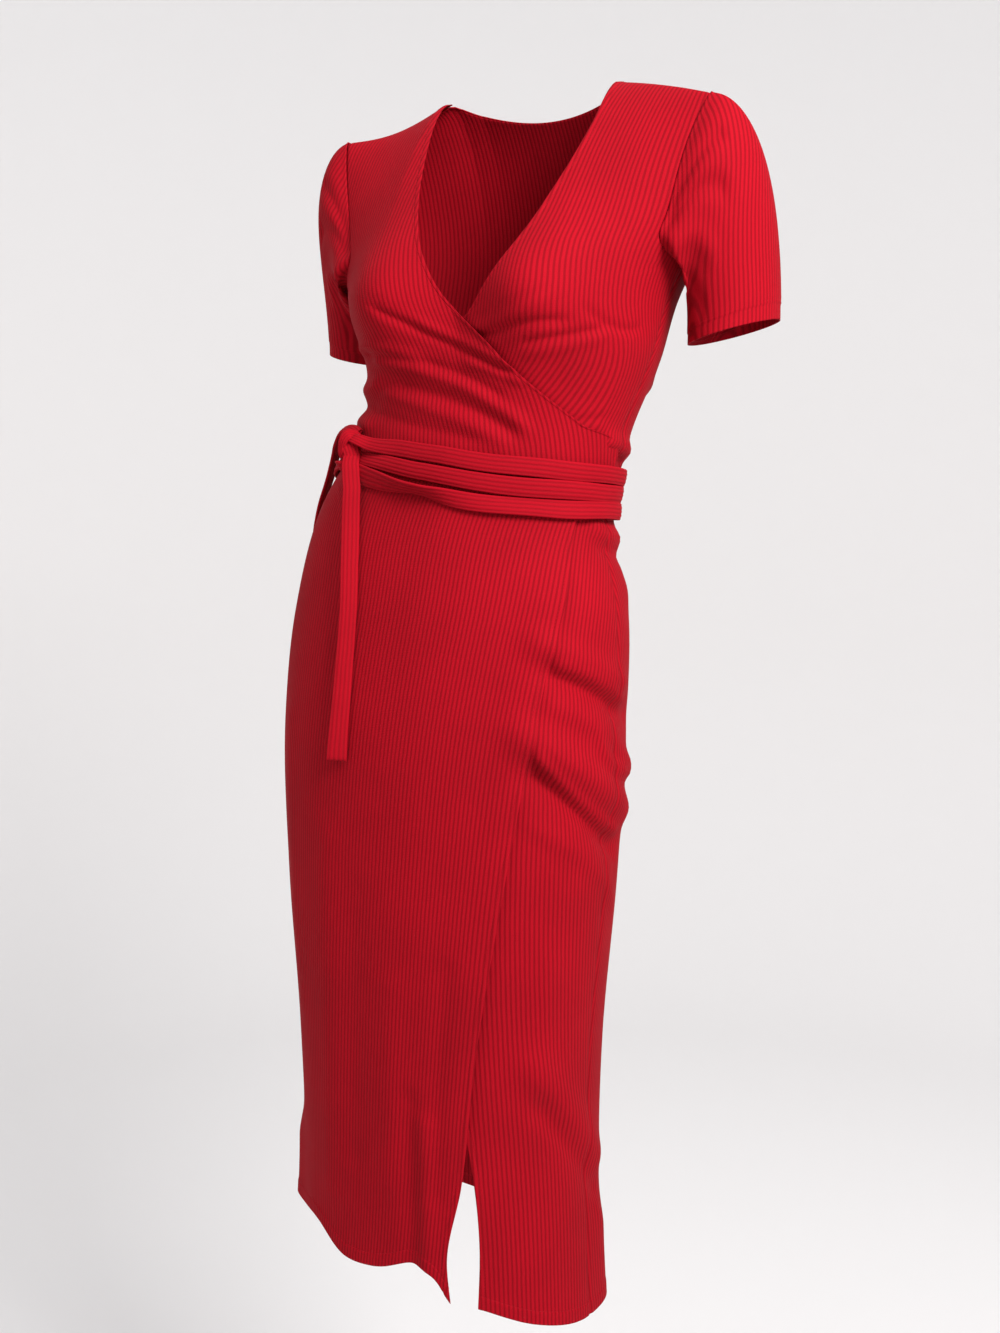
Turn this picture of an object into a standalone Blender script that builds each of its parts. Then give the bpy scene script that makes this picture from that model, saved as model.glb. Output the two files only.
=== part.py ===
"""Short-sleeved wrap dress in fine rib jersey, in the hollow form it takes when it is worn.

Metres, +Z up. The front faces -Y and +X is the wearer's left. The origin is over the
middle of the body, at the height of the two neck points, where the wearer's shoulders hold the dress.
Run it with: blender --background --python part.py
"""

import bpy
import numpy as np
from math import radians

# ---- Driving dimensions, in metres and degrees --------------------------------------------------
WALL = 0.0010              # cloth wall
OVER_LIFT = 0.0032         # the right front lies this far over the left one
TIE_LIFT = 0.0026          # inner face of the ties, over what they lie on
TIE_WALL = 0.0024          # a tie is a turned tube pressed flat
SEAM_GAP = 0.0004          # clearance between two cut pieces at their seam

NECK_HALF = 0.086          # middle to the neck point of a shoulder seam
SHOULDER_HALF = 0.182      # middle to the armhole end of a shoulder seam
SHOULDER_SLOPE = 0.31      # fall of the shoulder seam for each unit outwards
SHOULDER_SAG = (0.0075, -0.0020)   # and its hollow between neck and armhole, right and left
SHOULDER_BACK = 0.030      # the neck point stands this far behind the frame's axis
SHOULDER_FORWARD = 0.31    # and the seam runs forwards by this share of its length
SHOULDER_ROUND = 0.150     # height over which the chest rounds back to the shoulder seam
SHOULDER_CURL = 0.675      # how quickly it does so
SQUARE = 0.93              # below 1, a section is a little squarer than an ellipse

CUP_APART, CUP_HEIGHT, CUP_OUT = 0.077, -0.190, 0.034     # bust shaping of the two fronts
CUP_WIDE, CUP_TALL = 0.050, 0.054

WAIST_HEIGHT, WAIST_TILT = -0.337, 0.016                  # waist seam, lower at the wearer's left
UNDERARM_HEIGHT = -0.165
ARMHOLE_SHARE = 0.53       # share of a bodice's rows that lie below the underarm

# Level sections of the dress, in metres. Lean is how far the section's middle stands off the axis.
SECTIONS = np.array([
    # height  half_width  front   back   lean_x  lean_y
    (0.000, 0.210, 0.070, 0.084, 0.000, 0.014),
    (-0.060, 0.200, 0.076, 0.088, 0.000, 0.012),
    (-0.130, 0.178, 0.086, 0.096, -0.002, 0.008),
    (-0.190, 0.152, 0.092, 0.098, -0.006, 0.002),
    (-0.240, 0.135, 0.088, 0.092, -0.002, -0.004),
    (-0.300, 0.128, 0.084, 0.084, -0.017, -0.012),
    (-0.370, 0.140, 0.090, 0.092, -0.043, -0.020),
    (-0.460, 0.159, 0.104, 0.110, -0.045, -0.028),
    (-0.560, 0.162, 0.114, 0.122, -0.048, -0.034),
    (-0.700, 0.156, 0.118, 0.120, -0.050, -0.034),
    (-0.850, 0.144, 0.116, 0.114, -0.052, -0.032),
    (-1.000, 0.142, 0.114, 0.108, -0.053, -0.030),
    (-1.120, 0.150, 0.116, 0.108, -0.056, -0.030),
])[::-1]

# Half width of the bodice at its armholes, from its middle, by height. The fronts are scooped out.
ARMHOLE = np.array([
    # height  right   left   back
    (-0.165, 0.165, 0.165, 0.165),
    (-0.150, 0.143, 0.157, 0.163),
    (-0.125, 0.148, 0.160, 0.168),
    (-0.100, 0.158, 0.165, 0.173),
    (-0.060, 0.173, 0.173, 0.178),
    (-0.030, 0.182, 0.182, 0.182),
])

# Front edges of the two bodice fronts, from the waist seam (0) to the neck point (1).
RIGHT_NECK_EDGE = np.array([
    # share  angle  height
    (0.00, 89.0, -0.3530),
    (0.06, 88.0, -0.3220),
    (0.20, 58.0, -0.2980),
    (0.36, 28.0, -0.2620),
    (0.48, 10.0, -0.2270),
    (0.57, -2.0, -0.1960),
    (0.66, -10.5, -0.1580),
    (0.78, -17.0, -0.1050),
    (0.90, -20.8, -0.0450),
    (1.00, -24.0, 0.0000),
])
LEFT_NECK_EDGE = np.array([
    # share  angle  height
    (0.00, -70.0, -0.3220),
    (0.06, -69.0, -0.2940),
    (0.20, -48.0, -0.2680),
    (0.36, -23.0, -0.2410),
    (0.48, -4.0, -0.2200),
    (0.57, 7.0, -0.1980),
    (0.66, 16.5, -0.1620),
    (0.78, 21.2, -0.1050),
    (0.90, 24.5, -0.0450),
    (1.00, 24.0, 0.0000),
])
BACK_NECK_DROP = 0.018

# Free edges of the two skirt fronts, from the waist seam down.
RIGHT_SKIRT_EDGE = np.array([
    # height  angle
    (-1.060, 25.5),
    (-1.020, 24.0),
    (-0.950, 29.3),
    (-0.820, 34.8),
    (-0.690, 41.0),
    (-0.560, 48.5),
    (-0.480, 54.0),
    (-0.400, 65.0),
    (-0.330, 73.0),
])
LEFT_SKIRT_EDGE = np.array([
    # height  angle
    (-1.070, 34.8),
    (-1.010, 35.6),
    (-0.940, 33.0),
    (-0.860, 26.0),
    (-0.740, 17.0),
    (-0.600, 6.0),
    (-0.450, -8.0),
    (-0.330, -20.0),
])

# Height of the hem all round, by angle from the middle of the front.
HEM = np.array([
    # angle  height
    (-90.0, -1.028),
    (-56.0, -1.024),
    (-32.0, -1.023),
    (-15.0, -1.041),
    (-3.0, -1.040),
    (13.0, -1.028),
    (19.0, -1.034),
    (26.0, -1.058),
    (35.0, -1.064),
    (58.0, -1.083),
    (96.0, -1.100),
    (130.0, -1.088),
    (180.0, -1.074),
    (200.0, -1.065),
    (230.0, -1.045),
    (270.0, -1.028),
])

# Largest folds: soft ridges (out is positive) and troughs, each along a line on the cloth.
FOLDS = np.array([
    # angle_a  height_a  angle_b  height_b   out     spread
    (50.0, -0.482, 92.0, -0.518, 0.0050, 0.012),
    (54.0, -0.505, 104.0, -0.550, -0.0045, 0.011),
    (48.0, -0.560, 102.0, -0.632, 0.0075, 0.015),
    (52.0, -0.594, 96.0, -0.662, -0.0055, 0.013),
    (98.0, -0.590, 122.0, -0.598, 0.0040, 0.010),
    (58.0, -0.850, 100.0, -0.955, 0.0045, 0.016),
    (62.0, -0.890, 96.0, -0.985, -0.0040, 0.013),
    (-66.0, -0.970, -64.0, -1.050, 0.0070, 0.022),
    (104.0, -1.030, 108.0, -1.110, 0.0050, 0.022),
])
FOLD_RADIUS = 0.130        # turns an angle into a distance along the cloth

# Sleeves: middle of each cuff ring and its half width, which hangs close beside the body and a little behind.
#             x      y       z      half_x
LEFT_CUFF = (0.1900, 0.040, -0.219, 0.0375)
RIGHT_CUFF = (-0.1940, 0.046, -0.222, 0.0335)
CUFF_HALF_Y = 0.046
CUFF_SLANT = 0.009         # the inner side of a cuff hangs this much lower than its middle
CUFF_FRONT = 0.005         # and so does its front
CAP_REACH = 0.74           # share of its way to the cuff over which the cap keeps the shoulder's line
CUFF_REACH = 1.25          # and over which the lower sleeve hangs straight
SLEEVE_START = (0.0006, 0.0028)   # clearance at the armhole seam, on the shoulder and at the underarm

# The three turns of the ties round the waist, from the knot round the front, left side and back.
TIE_TURNS = np.array([
    # angle   upper   middle    lower    width
    (-31.5, -0.3105, -0.3225, -0.3345, 0.0105),
    (-16.0, -0.3160, -0.3310, -0.3455, 0.0138),
    (0.0, -0.3230, -0.3385, -0.3530, 0.0144),
    (22.0, -0.3305, -0.3475, -0.3640, 0.0150),
    (54.0, -0.3362, -0.3530, -0.3690, 0.0150),
    (88.0, -0.3395, -0.3550, -0.3695, 0.0140),
    (140.0, -0.3420, -0.3575, -0.3725, 0.0142),
    (200.0, -0.3340, -0.3490, -0.3640, 0.0142),
    (265.0, -0.3170, -0.3310, -0.3450, 0.0130),
    (311.5, -0.3055, -0.3170, -0.3285, 0.0102),
])
KNOT_ANGLE, KNOT_HEIGHT, KNOT_LIFT = -39.5, -0.316, 0.0166
KNOT_HALF = (0.0115, 0.0095, 0.0210)   # along the waist, outwards, up

# Free ends of the ties: the front one hangs over the skirt, the other one at the wearer's right side.
FRONT_TAIL = np.array([
    # height  angle   lift    width
    (-0.3440, -36.0, 0.0125, 0.0130),
    (-0.3640, -27.0, 0.0100, 0.0150),
    (-0.4000, -20.0, 0.0080, 0.0150),
    (-0.4580, -16.3, 0.0066, 0.0150),
    (-0.5260, -14.0, 0.0060, 0.0155),
    (-0.5850, -13.5, 0.0060, 0.0175),
])[::-1]
SIDE_TAIL = np.array([
    # height  angle   lift    width
    (-0.3120, -54.0, 0.0140, 0.0120),
    (-0.3300, -66.0, 0.0145, 0.0140),
    (-0.3650, -79.0, 0.0125, 0.0150),
    (-0.4400, -90.0, 0.0080, 0.0150),
    (-0.5200, -94.0, 0.0064, 0.0155),
    (-0.5600, -95.0, 0.0064, 0.0170),
])[::-1]

RED = (0.55, 0.012, 0.022)


# ---- The form that every piece lies on ----------------------------------------------------------
def between(at, knots, values):
    """Smooth curve through the rows of a short table: a cubic between two rows, with slopes from their neighbours."""
    slopes = np.gradient(values, knots)
    low = np.clip(np.searchsorted(knots, at) - 1, 0, len(knots) - 2)
    step = knots[low + 1] - knots[low]
    t = np.clip((at - knots[low]) / step, 0.0, 1.0)
    start = values[low] * (1 + 2 * t) * (1 - t) ** 2 + slopes[low] * step * t * (1 - t) ** 2
    return start + values[low + 1] * t * t * (3 - 2 * t) + slopes[low + 1] * step * t * t * (t - 1)


def shoulder_height(x):
    """Height of the shoulder seam at x: level inside the neck, then falling outwards in a slight hollow."""
    out = np.clip(np.abs(x) - NECK_HALF, 0.0, None)
    hollow = np.sin(np.pi * np.clip(out / (SHOULDER_HALF - NECK_HALF), 0, 1))
    return -SHOULDER_SLOPE * out - np.where(x < 0, *SHOULDER_SAG) * hollow


def shoulder_depth(x):
    """How far behind the axis the shoulder seam runs at x."""
    return SHOULDER_BACK - SHOULDER_FORWARD * np.clip(np.abs(x) - NECK_HALF, -0.020, 0.120)


def folds(angle, height):
    """Sum of the fold table's ridges and troughs: each is a bell across its line, easing out at both ends."""
    total = np.zeros(np.broadcast(angle, height).shape)
    turned = np.where(angle > np.pi, angle - 2 * np.pi, angle)
    for angle_a, height_a, angle_b, height_b, out, spread in FOLDS:
        along = np.array([radians(angle_b - angle_a) * FOLD_RADIUS, height_b - height_a])
        length = np.hypot(*along)
        along /= length
        u = (turned - radians(angle_a)) * FOLD_RADIUS
        v = height - height_a
        run = u * along[0] + v * along[1]
        across = v * along[0] - u * along[1]
        past = np.clip(-run, 0, None) + np.clip(run - length, 0, None)
        total += out * np.exp(-((across / spread) ** 2) - (past / (1.3 * spread)) ** 2)
    return total


def form(angle, height):
    """Point of the smooth form: a squarish ellipse at each height, cups in front, closing in at the shoulders."""
    angle, height = np.broadcast_arrays(np.asarray(angle, float), np.asarray(height, float))
    half, front, back, lean_x, lean_y = (
        between(height, SECTIONS[:, 0], SECTIONS[:, k]) for k in range(1, 6)
    )
    side, ahead = np.sin(angle), np.cos(angle)
    x = lean_x + half * np.sign(side) * np.abs(side) ** SQUARE
    deep = np.where(ahead > 0, front, back) * np.abs(ahead) ** SQUARE
    off_cup = ((np.abs(x - lean_x) - CUP_APART) / CUP_WIDE) ** 2 + ((height - CUP_HEIGHT) / CUP_TALL) ** 2
    y = lean_y - np.sign(ahead) * deep - CUP_OUT * np.exp(-off_cup) * np.clip(3 * ahead, 0, 1)
    below = np.clip((shoulder_height(x) - height) / SHOULDER_ROUND, 0.0, 1.0)
    open_out = (1 - (1 - below) ** 2) ** SHOULDER_CURL
    y = shoulder_depth(x) + (y - shoulder_depth(x)) * open_out
    return np.stack([x, y, height], axis=-1)


def outward(angle, height, step=2e-4):
    """Unit normal of the form, from its slopes along the angle and down."""
    along = form(angle + step, height) - form(angle - step, height)
    up = form(angle, height) - form(angle, height - step)
    normal = np.cross(along, up)
    return normal / np.linalg.norm(normal, axis=-1, keepdims=True)


def cloth(angle, height, lift):
    """Point of a piece that lies on the form, out along its normal by the lift and by the folds there."""
    out = np.asarray(lift) + folds(angle, height)
    return form(angle, height) + outward(angle, height) * out[..., None]


def angle_at(x, height, behind=False):
    """Angle at which the form has this x, in front or behind."""
    half = between(height, SECTIONS[:, 0], SECTIONS[:, 1])
    lean_x = between(height, SECTIONS[:, 0], SECTIONS[:, 4])
    side = np.clip((x - lean_x) / half, -1.0, 1.0)
    angle = np.arcsin(np.sign(side) * np.abs(side) ** (1 / SQUARE))
    return np.pi - angle if behind else angle


def waist(angle):
    """Height of the waist seam."""
    return WAIST_HEIGHT - WAIST_TILT * np.sin(angle)


def hem(angle):
    """Height of the hem."""
    return between(np.degrees(angle), HEM[:, 0], HEM[:, 1])


# ---- Blender objects ----------------------------------------------------------------------------
def clear_scene():
    for old in list(bpy.data.objects):
        bpy.data.objects.remove(old, do_unlink=True)


def cloth_material(name, tint):
    """Principled material of the knit, a little lighter or darker for each piece."""
    material = bpy.data.materials.new(name)
    material.use_nodes = True
    shader = material.node_tree.nodes["Principled BSDF"]
    shader.inputs["Base Color"].default_value = (*(channel * tint for channel in RED), 1.0)
    shader.inputs["Roughness"].default_value = 0.85
    shader.inputs["Metallic"].default_value = 0.0
    return material


def grid_object(name, points, wall, tint, ring=False):
    """Object from a grid of points (rows going up, columns with rising angle), given its wall by Solidify."""
    rows, columns = points.shape[:2]
    index = np.arange(rows * columns).reshape(rows, columns)
    if ring:
        index = np.hstack([index, index[:, :1]])
    quads = np.stack([index[:-1, :-1], index[:-1, 1:], index[1:, 1:], index[1:, :-1]], axis=-1).reshape(-1, 4)
    points = points.reshape(-1, 3)
    # A quad is split along its first corner's diagonal, so each starts at a corner of its shorter one.
    first = np.linalg.norm(points[quads[:, 0]] - points[quads[:, 2]], axis=1)
    second = np.linalg.norm(points[quads[:, 1]] - points[quads[:, 3]], axis=1)
    quads[second < first] = np.roll(quads[second < first], 1, axis=1)
    mesh = bpy.data.meshes.new(name)
    mesh.from_pydata(points.tolist(), [], quads.tolist())
    mesh.materials.append(cloth_material(name, tint))
    mesh.shade_smooth()
    piece = bpy.data.objects.new(name, mesh)
    bpy.data.collections["wrap_dress"].objects.link(piece)
    solidify = piece.modifiers.new("wall", "SOLIDIFY")
    solidify.thickness = wall
    solidify.offset = 1.0
    return piece


# ---- Bodice ---------------------------------------------------------------------------------------
def armhole_height(share):
    """Height of the armhole edge, from the underarm (0) to the shoulder (1), closer together at the top."""
    top = -SHOULDER_SLOPE * (SHOULDER_HALF - NECK_HALF)
    return UNDERARM_HEIGHT + (top - UNDERARM_HEIGHT) * np.sin(0.5 * np.pi * share)


def armhole_x(height, side, behind):
    """Where the armhole edge stands across the frame at a height, on the front or on the back."""
    column = 3 if behind else 1 + (side > 0)
    lean_x = between(height, SECTIONS[:, 0], SECTIONS[:, 4])
    return lean_x + side * between(height, ARMHOLE[:, 0], ARMHOLE[:, column])


def side_edge(share, side, behind):
    """(angle, height) of a bodice piece's outer edge: up its side seam, then up its armhole."""
    low = np.clip(share / ARMHOLE_SHARE, 0, 1)
    high = np.clip((share - ARMHOLE_SHARE) / (1 - ARMHOLE_SHARE), 0, 1)
    seam_foot = waist(side * 0.5 * np.pi) + SEAM_GAP / 2
    height = np.where(share < ARMHOLE_SHARE, seam_foot + (UNDERARM_HEIGHT - seam_foot) * low, armhole_height(high))
    angle = angle_at(armhole_x(height, side, behind), height)
    angle = np.where(share <= ARMHOLE_SHARE, side * 0.5 * np.pi, angle)
    angle = angle - side * 0.5 * SEAM_GAP / FOLD_RADIUS
    if behind:
        angle = np.pi - angle
    return angle, height


def shoulder_row(across, side, behind):
    """(angle, height) along a shoulder seam, from the armhole (0) to the neck point (1)."""
    x = side * (SHOULDER_HALF + (NECK_HALF - SHOULDER_HALF) * across)
    height = shoulder_height(x) - SEAM_GAP / 2
    return angle_at(x, height, behind), height


def bodice_front(name, side, neck_edge, lift, tint, columns=12, rows=17):
    """A front: from its side seam and armhole across to its neck edge, waist seam to shoulder seam."""
    across, share = np.meshgrid(np.linspace(0, 1, columns + 1), np.linspace(0, 1, rows + 1))
    outer_angle, outer_height = side_edge(share, side, behind=False)
    edge_angle = np.radians(between(share, neck_edge[:, 0], neck_edge[:, 1]))
    edge_height = between(share, neck_edge[:, 0], neck_edge[:, 2])
    angle = outer_angle + (edge_angle - outer_angle) * across
    height = outer_height + (edge_height - outer_height) * across
    foot = waist(angle) + SEAM_GAP / 2
    height = height + (foot - height) * np.clip(1 - share * rows, 0, 1)
    top_angle, top_height = shoulder_row(across[-1], side, behind=False)
    pull = share**6
    angle = angle + (top_angle - angle[-1]) * pull
    height = height + (top_height - height[-1]) * pull
    if side > 0:
        angle, height = angle[:, ::-1], height[:, ::-1]
    return grid_object(name, cloth(angle, height, lift), WALL, tint)


def back_lift(angle):
    """The back's right half stands out as far as the right front, so that their seams meet."""
    turn = np.clip((np.degrees(angle) - 165.0) / 30.0, 0, 1)
    return OVER_LIFT * turn * turn * (3 - 2 * turn)


def bodice_back(name, tint, columns=18, rows=17):
    """The back in one piece: side seam to side seam, waist seam to shoulder seams and back neck."""
    across, share = np.meshgrid(np.linspace(0, 1, columns + 1), np.linspace(0, 1, rows + 1))
    left_angle, left_height = side_edge(share, 1, behind=True)
    right_angle, right_height = side_edge(share, -1, behind=True)
    angle = left_angle + (right_angle - left_angle) * across
    height = left_height + (right_height - left_height) * across
    foot = waist(angle) + SEAM_GAP / 2
    height = height + (foot - height) * np.clip(1 - share * rows, 0, 1)
    seam_share = 5 / columns
    row = across[-1]
    left = shoulder_row(row / seam_share, 1, behind=True)
    right = shoulder_row((1 - row) / seam_share, -1, behind=True)
    neck_share = np.clip((row - seam_share) / (1 - 2 * seam_share), 0, 1)
    neck_x = NECK_HALF * (1 - 2 * neck_share)
    neck_height = -BACK_NECK_DROP * np.sin(np.pi * neck_share) ** 0.8 - SEAM_GAP / 2
    neck = angle_at(neck_x, neck_height, behind=True), neck_height
    places = [row <= seam_share, row >= 1 - seam_share]
    top_angle = np.select(places, [left[0], right[0]], neck[0])
    top_height = np.select(places, [left[1], right[1]], neck[1])
    pull = share**4
    angle = angle + (top_angle - angle[-1]) * pull
    height = height + (top_height - height[-1]) * pull
    return grid_object(name, cloth(angle, height, back_lift(angle)), WALL, tint)


# ---- Sleeves ----------------------------------------------------------------------------------------
def sleeve(name, side, ring, lift, tint, around=16, rows=7):
    """A short set-in sleeve: a smooth tube from the armhole's own points to the cuff ring."""
    half = around // 2
    share = np.linspace(0, 1, half + 1)
    height = armhole_height(share)
    front = angle_at(armhole_x(height, side, False), height)[::-1]
    back = angle_at(armhole_x(height, side, True), height, behind=True)[1:-1]
    angle = np.concatenate([front, back])
    height = np.concatenate([height[::-1], height[1:-1]])
    armhole = cloth(angle, height, lift)
    turn = np.linspace(0, 2 * np.pi, around, endpoint=False)
    cuff = np.array(ring[:3]) + np.stack([
        side * ring[3] * np.cos(turn),
        -CUFF_HALF_Y * np.sin(turn),
        CUFF_SLANT * np.cos(turn) - CUFF_FRONT * np.sin(turn),
    ], axis=-1)
    down = 0.5 - 0.5 * np.cos(turn)
    leave = np.stack([
        side * (1.0 - 0.25 * down),
        -0.30 * np.sin(turn),
        -0.12 - 0.46 * down,
    ], axis=-1)
    leave += 0.55 * down[:, None] * outward(angle, height)
    leave /= np.linalg.norm(leave, axis=-1, keepdims=True)
    clear = SLEEVE_START[0] + (SLEEVE_START[1] - SLEEVE_START[0]) * down
    start = armhole + leave * clear[:, None]
    span = np.linalg.norm(cuff - start, axis=-1)[:, None]
    arrive = np.array([0.0, 0.0, -1.0])
    t = np.linspace(0, 1, rows + 1)[:, None, None]
    points = (
        start * (1 + 2 * t) * (1 - t) ** 2
        + CAP_REACH * (1 + 0.5 * down[:, None]) * span * leave * t * (1 - t) ** 2
        + cuff * t * t * (3 - 2 * t)
        + CUFF_REACH * (1 - 0.4 * down[:, None]) * span * arrive * t * t * (t - 1)
    )
    if side > 0:
        points = points[:, ::-1]
    return grid_object(name, points[::-1], WALL, tint, ring=True)


# ---- Skirt --------------------------------------------------------------------------------------------
def skirt_panel(name, start, end, lift, tint, columns, rows=22):
    """A skirt panel between two edges, each a function of height, from the waist seam to the hem."""
    across, share = np.meshgrid(np.linspace(0, 1, columns + 1), np.linspace(0, 1, rows + 1))
    angle = start(-0.35) + (end(-0.35) - start(-0.35)) * across
    for _ in range(4):
        top = waist(angle) - SEAM_GAP / 2
        height = hem(angle) + (top - hem(angle)) * share
        angle = start(height) + (end(height) - start(height)) * across
    return grid_object(name, cloth(angle, height, lift(angle)), WALL, tint)


def side_seam(degrees, inset):
    """Edge function of a side seam, half a seam gap inside its panel."""
    return lambda height: radians(degrees) + inset * 0.5 * SEAM_GAP / FOLD_RADIUS + 0 * height


def free_edge(table):
    """Edge function read from a table of heights and angles."""
    return lambda height: np.radians(between(height, table[:, 0], table[:, 1]))


# ---- Ties ---------------------------------------------------------------------------------------------
def tie_lift(angle):
    """Inner face of the ties: over the right front as far as the left side seam, then over the back."""
    past_seam = np.clip((np.degrees(angle) - 92.0) / 24.0, 0, 1)
    off_front = past_seam * past_seam * (3 - 2 * past_seam)
    return TIE_LIFT + OVER_LIFT * (1 - off_front) + back_lift(angle)


def tie_turn(name, column, tint, steps=40):
    """One turn of a tie round the waist: a flat strap on the form, over both fronts."""
    degrees = np.linspace(TIE_TURNS[0, 0], TIE_TURNS[-1, 0], steps + 1)
    middle = between(degrees, TIE_TURNS[:, 0], TIE_TURNS[:, column])
    width = between(degrees, TIE_TURNS[:, 0], TIE_TURNS[:, 4])
    angle = np.radians(np.stack([degrees, degrees]))
    height = np.stack([middle - width / 2, middle + width / 2])
    points = form(angle, height) + outward(angle, height) * tie_lift(angle)[..., None]
    return grid_object(name, points, TIE_WALL, tint)


def tie_tail(name, table, tint, steps=10):
    """A free end of a tie, hanging from the knot and lying on the skirt lower down."""
    height = np.linspace(table[0, 0], table[-1, 0], steps + 1)
    angle, lift, width = (between(height, table[:, 0], table[:, k]) for k in (1, 2, 3))
    angle = np.radians(angle)
    middle = form(angle, height) + outward(angle, height) * lift[:, None]
    out = outward(angle, height)
    run = np.gradient(middle, axis=0)
    sideways = np.cross(run, out)
    sideways *= (0.5 * width / np.linalg.norm(sideways, axis=-1))[:, None]
    points = np.stack([middle - sideways, middle + sideways], axis=1)
    return grid_object(name, points, TIE_WALL, tint)


def knot(name, tint):
    """The knot: a coarse cage, rounded by Subdivision Surface, proud of the waist."""
    angle = np.array(radians(KNOT_ANGLE))
    height = np.array(KNOT_HEIGHT)
    out = outward(angle, height)
    out = out * np.array([1, 1, 0]) / np.hypot(out[0], out[1])
    along = np.array([out[1], -out[0], 0.0])
    middle = form(angle, height) + out * KNOT_LIFT
    bpy.ops.mesh.primitive_cube_add(size=2.0)
    piece = bpy.context.object
    bpy.context.collection.objects.unlink(piece)
    piece.name = piece.data.name = name
    frame = np.stack([along * KNOT_HALF[0], out * KNOT_HALF[1], np.array([0, 0, KNOT_HALF[2]])])
    for vertex in piece.data.vertices:
        vertex.co = 1.12 * np.array(vertex.co) @ frame + middle
    piece.data.materials.append(cloth_material(name, tint))
    piece.data.shade_smooth()
    rounding = piece.modifiers.new("rounding", "SUBSURF")
    rounding.levels = rounding.render_levels = 2
    bpy.data.collections["wrap_dress"].objects.link(piece)
    return piece


# ---- The dress ------------------------------------------------------------------------------------------
def build_dress():
    clear_scene()
    bpy.context.scene.collection.children.link(bpy.data.collections.new("wrap_dress"))

    def raised(angle):
        return OVER_LIFT + 0 * angle

    def flat(angle):
        return 0 * angle

    bodice_front("right_front_bodice", -1, RIGHT_NECK_EDGE, OVER_LIFT, 1.00)
    bodice_front("left_front_bodice", 1, LEFT_NECK_EDGE, 0.0, 0.92)
    bodice_back("back_bodice", 0.86)
    sleeve("left_sleeve", 1, LEFT_CUFF, 0.0, 0.97)
    sleeve("right_sleeve", -1, RIGHT_CUFF, OVER_LIFT, 0.97)
    skirt_panel("right_front_skirt", side_seam(-90.0, 1), free_edge(RIGHT_SKIRT_EDGE), raised, 1.00, 14)
    skirt_panel("left_front_skirt", free_edge(LEFT_SKIRT_EDGE), side_seam(90.0, -1), flat, 0.92, 11)
    skirt_panel("back_skirt", side_seam(90.0, 1), side_seam(270.0, -1), back_lift, 0.86, 15)
    for column, name in enumerate(("tie_turn_upper", "tie_turn_middle", "tie_turn_lower"), start=1):
        tie_turn(name, column, 1.05)
    knot("tie_knot", 1.10)
    tie_tail("tie_end_front", FRONT_TAIL, 1.05)
    tie_tail("tie_end_side", SIDE_TAIL, 1.05)


build_dress()
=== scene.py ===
"""Short-sleeved red wrap dress in fine rib jersey: the looks of each cut piece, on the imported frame."""

from math import cos, pi, radians, sin

import bpy
import numpy as np
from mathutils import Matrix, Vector


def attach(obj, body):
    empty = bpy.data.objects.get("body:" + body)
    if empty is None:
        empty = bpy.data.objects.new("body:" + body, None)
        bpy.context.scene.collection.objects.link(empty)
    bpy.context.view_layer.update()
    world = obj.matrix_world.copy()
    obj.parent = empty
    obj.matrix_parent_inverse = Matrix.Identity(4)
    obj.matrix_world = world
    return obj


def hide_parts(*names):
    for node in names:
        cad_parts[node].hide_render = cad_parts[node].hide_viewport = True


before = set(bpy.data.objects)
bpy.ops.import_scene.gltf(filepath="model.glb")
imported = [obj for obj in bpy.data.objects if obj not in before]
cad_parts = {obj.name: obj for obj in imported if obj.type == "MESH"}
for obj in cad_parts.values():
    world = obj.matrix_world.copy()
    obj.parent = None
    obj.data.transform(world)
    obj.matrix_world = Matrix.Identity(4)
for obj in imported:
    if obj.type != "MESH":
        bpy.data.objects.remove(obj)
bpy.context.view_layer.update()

scene = bpy.context.scene


# ==== Studio =====================================================================================
# A pale seamless sweep that closes round the dress, a large soft window light high on the wearer's
# left and a weaker one overhead. The camera stands a little to the wearer's left.
def linear(hex_colour):
    """sRGB hex to linear RGB: each channel through the sRGB curve."""
    channels = [int(hex_colour[k:k + 2], 16) / 255 for k in (1, 3, 5)]
    return [c / 12.92 if c <= 0.04045 else ((c + 0.055) / 1.055) ** 2.4 for c in channels]


def add(tree, kind, links=(), **settings):
    """Adds a node: settings are its properties or, by name or number, its sockets; links feed its inputs."""
    node = tree.nodes.new(kind)
    for key, value in settings.items():
        if hasattr(node, key):
            setattr(node, key, value)
        else:
            node.inputs[int(key[1:]) if key[1:].isdigit() else key.replace("_", " ")].default_value = value
    for socket, source in links:
        tree.links.new(source, node.inputs[socket])
    return node


AIM = Vector((-0.0135, -0.0080, -0.5130))
VIEW_TURN, VIEW_DOWN, VIEW_FAR = radians(30.0), radians(6.2), 1.35
back = Vector((sin(VIEW_TURN) * cos(VIEW_DOWN), -cos(VIEW_TURN) * cos(VIEW_DOWN), sin(VIEW_DOWN)))
camera = bpy.data.objects.new("camera", bpy.data.cameras.new("camera"))
camera.data.lens, camera.data.sensor_width = 39.7, 36.0
camera.location = AIM + back * VIEW_FAR
camera.rotation_euler = back.to_track_quat("Z", "Y").to_euler()
scene.collection.objects.link(camera)
scene.camera = camera

FLOOR_HEIGHT, SWEEP_RADIUS, SWEEP_ROUND, SWEEP_TOP = -1.62, 3.0, 0.9, 3.2


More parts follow.
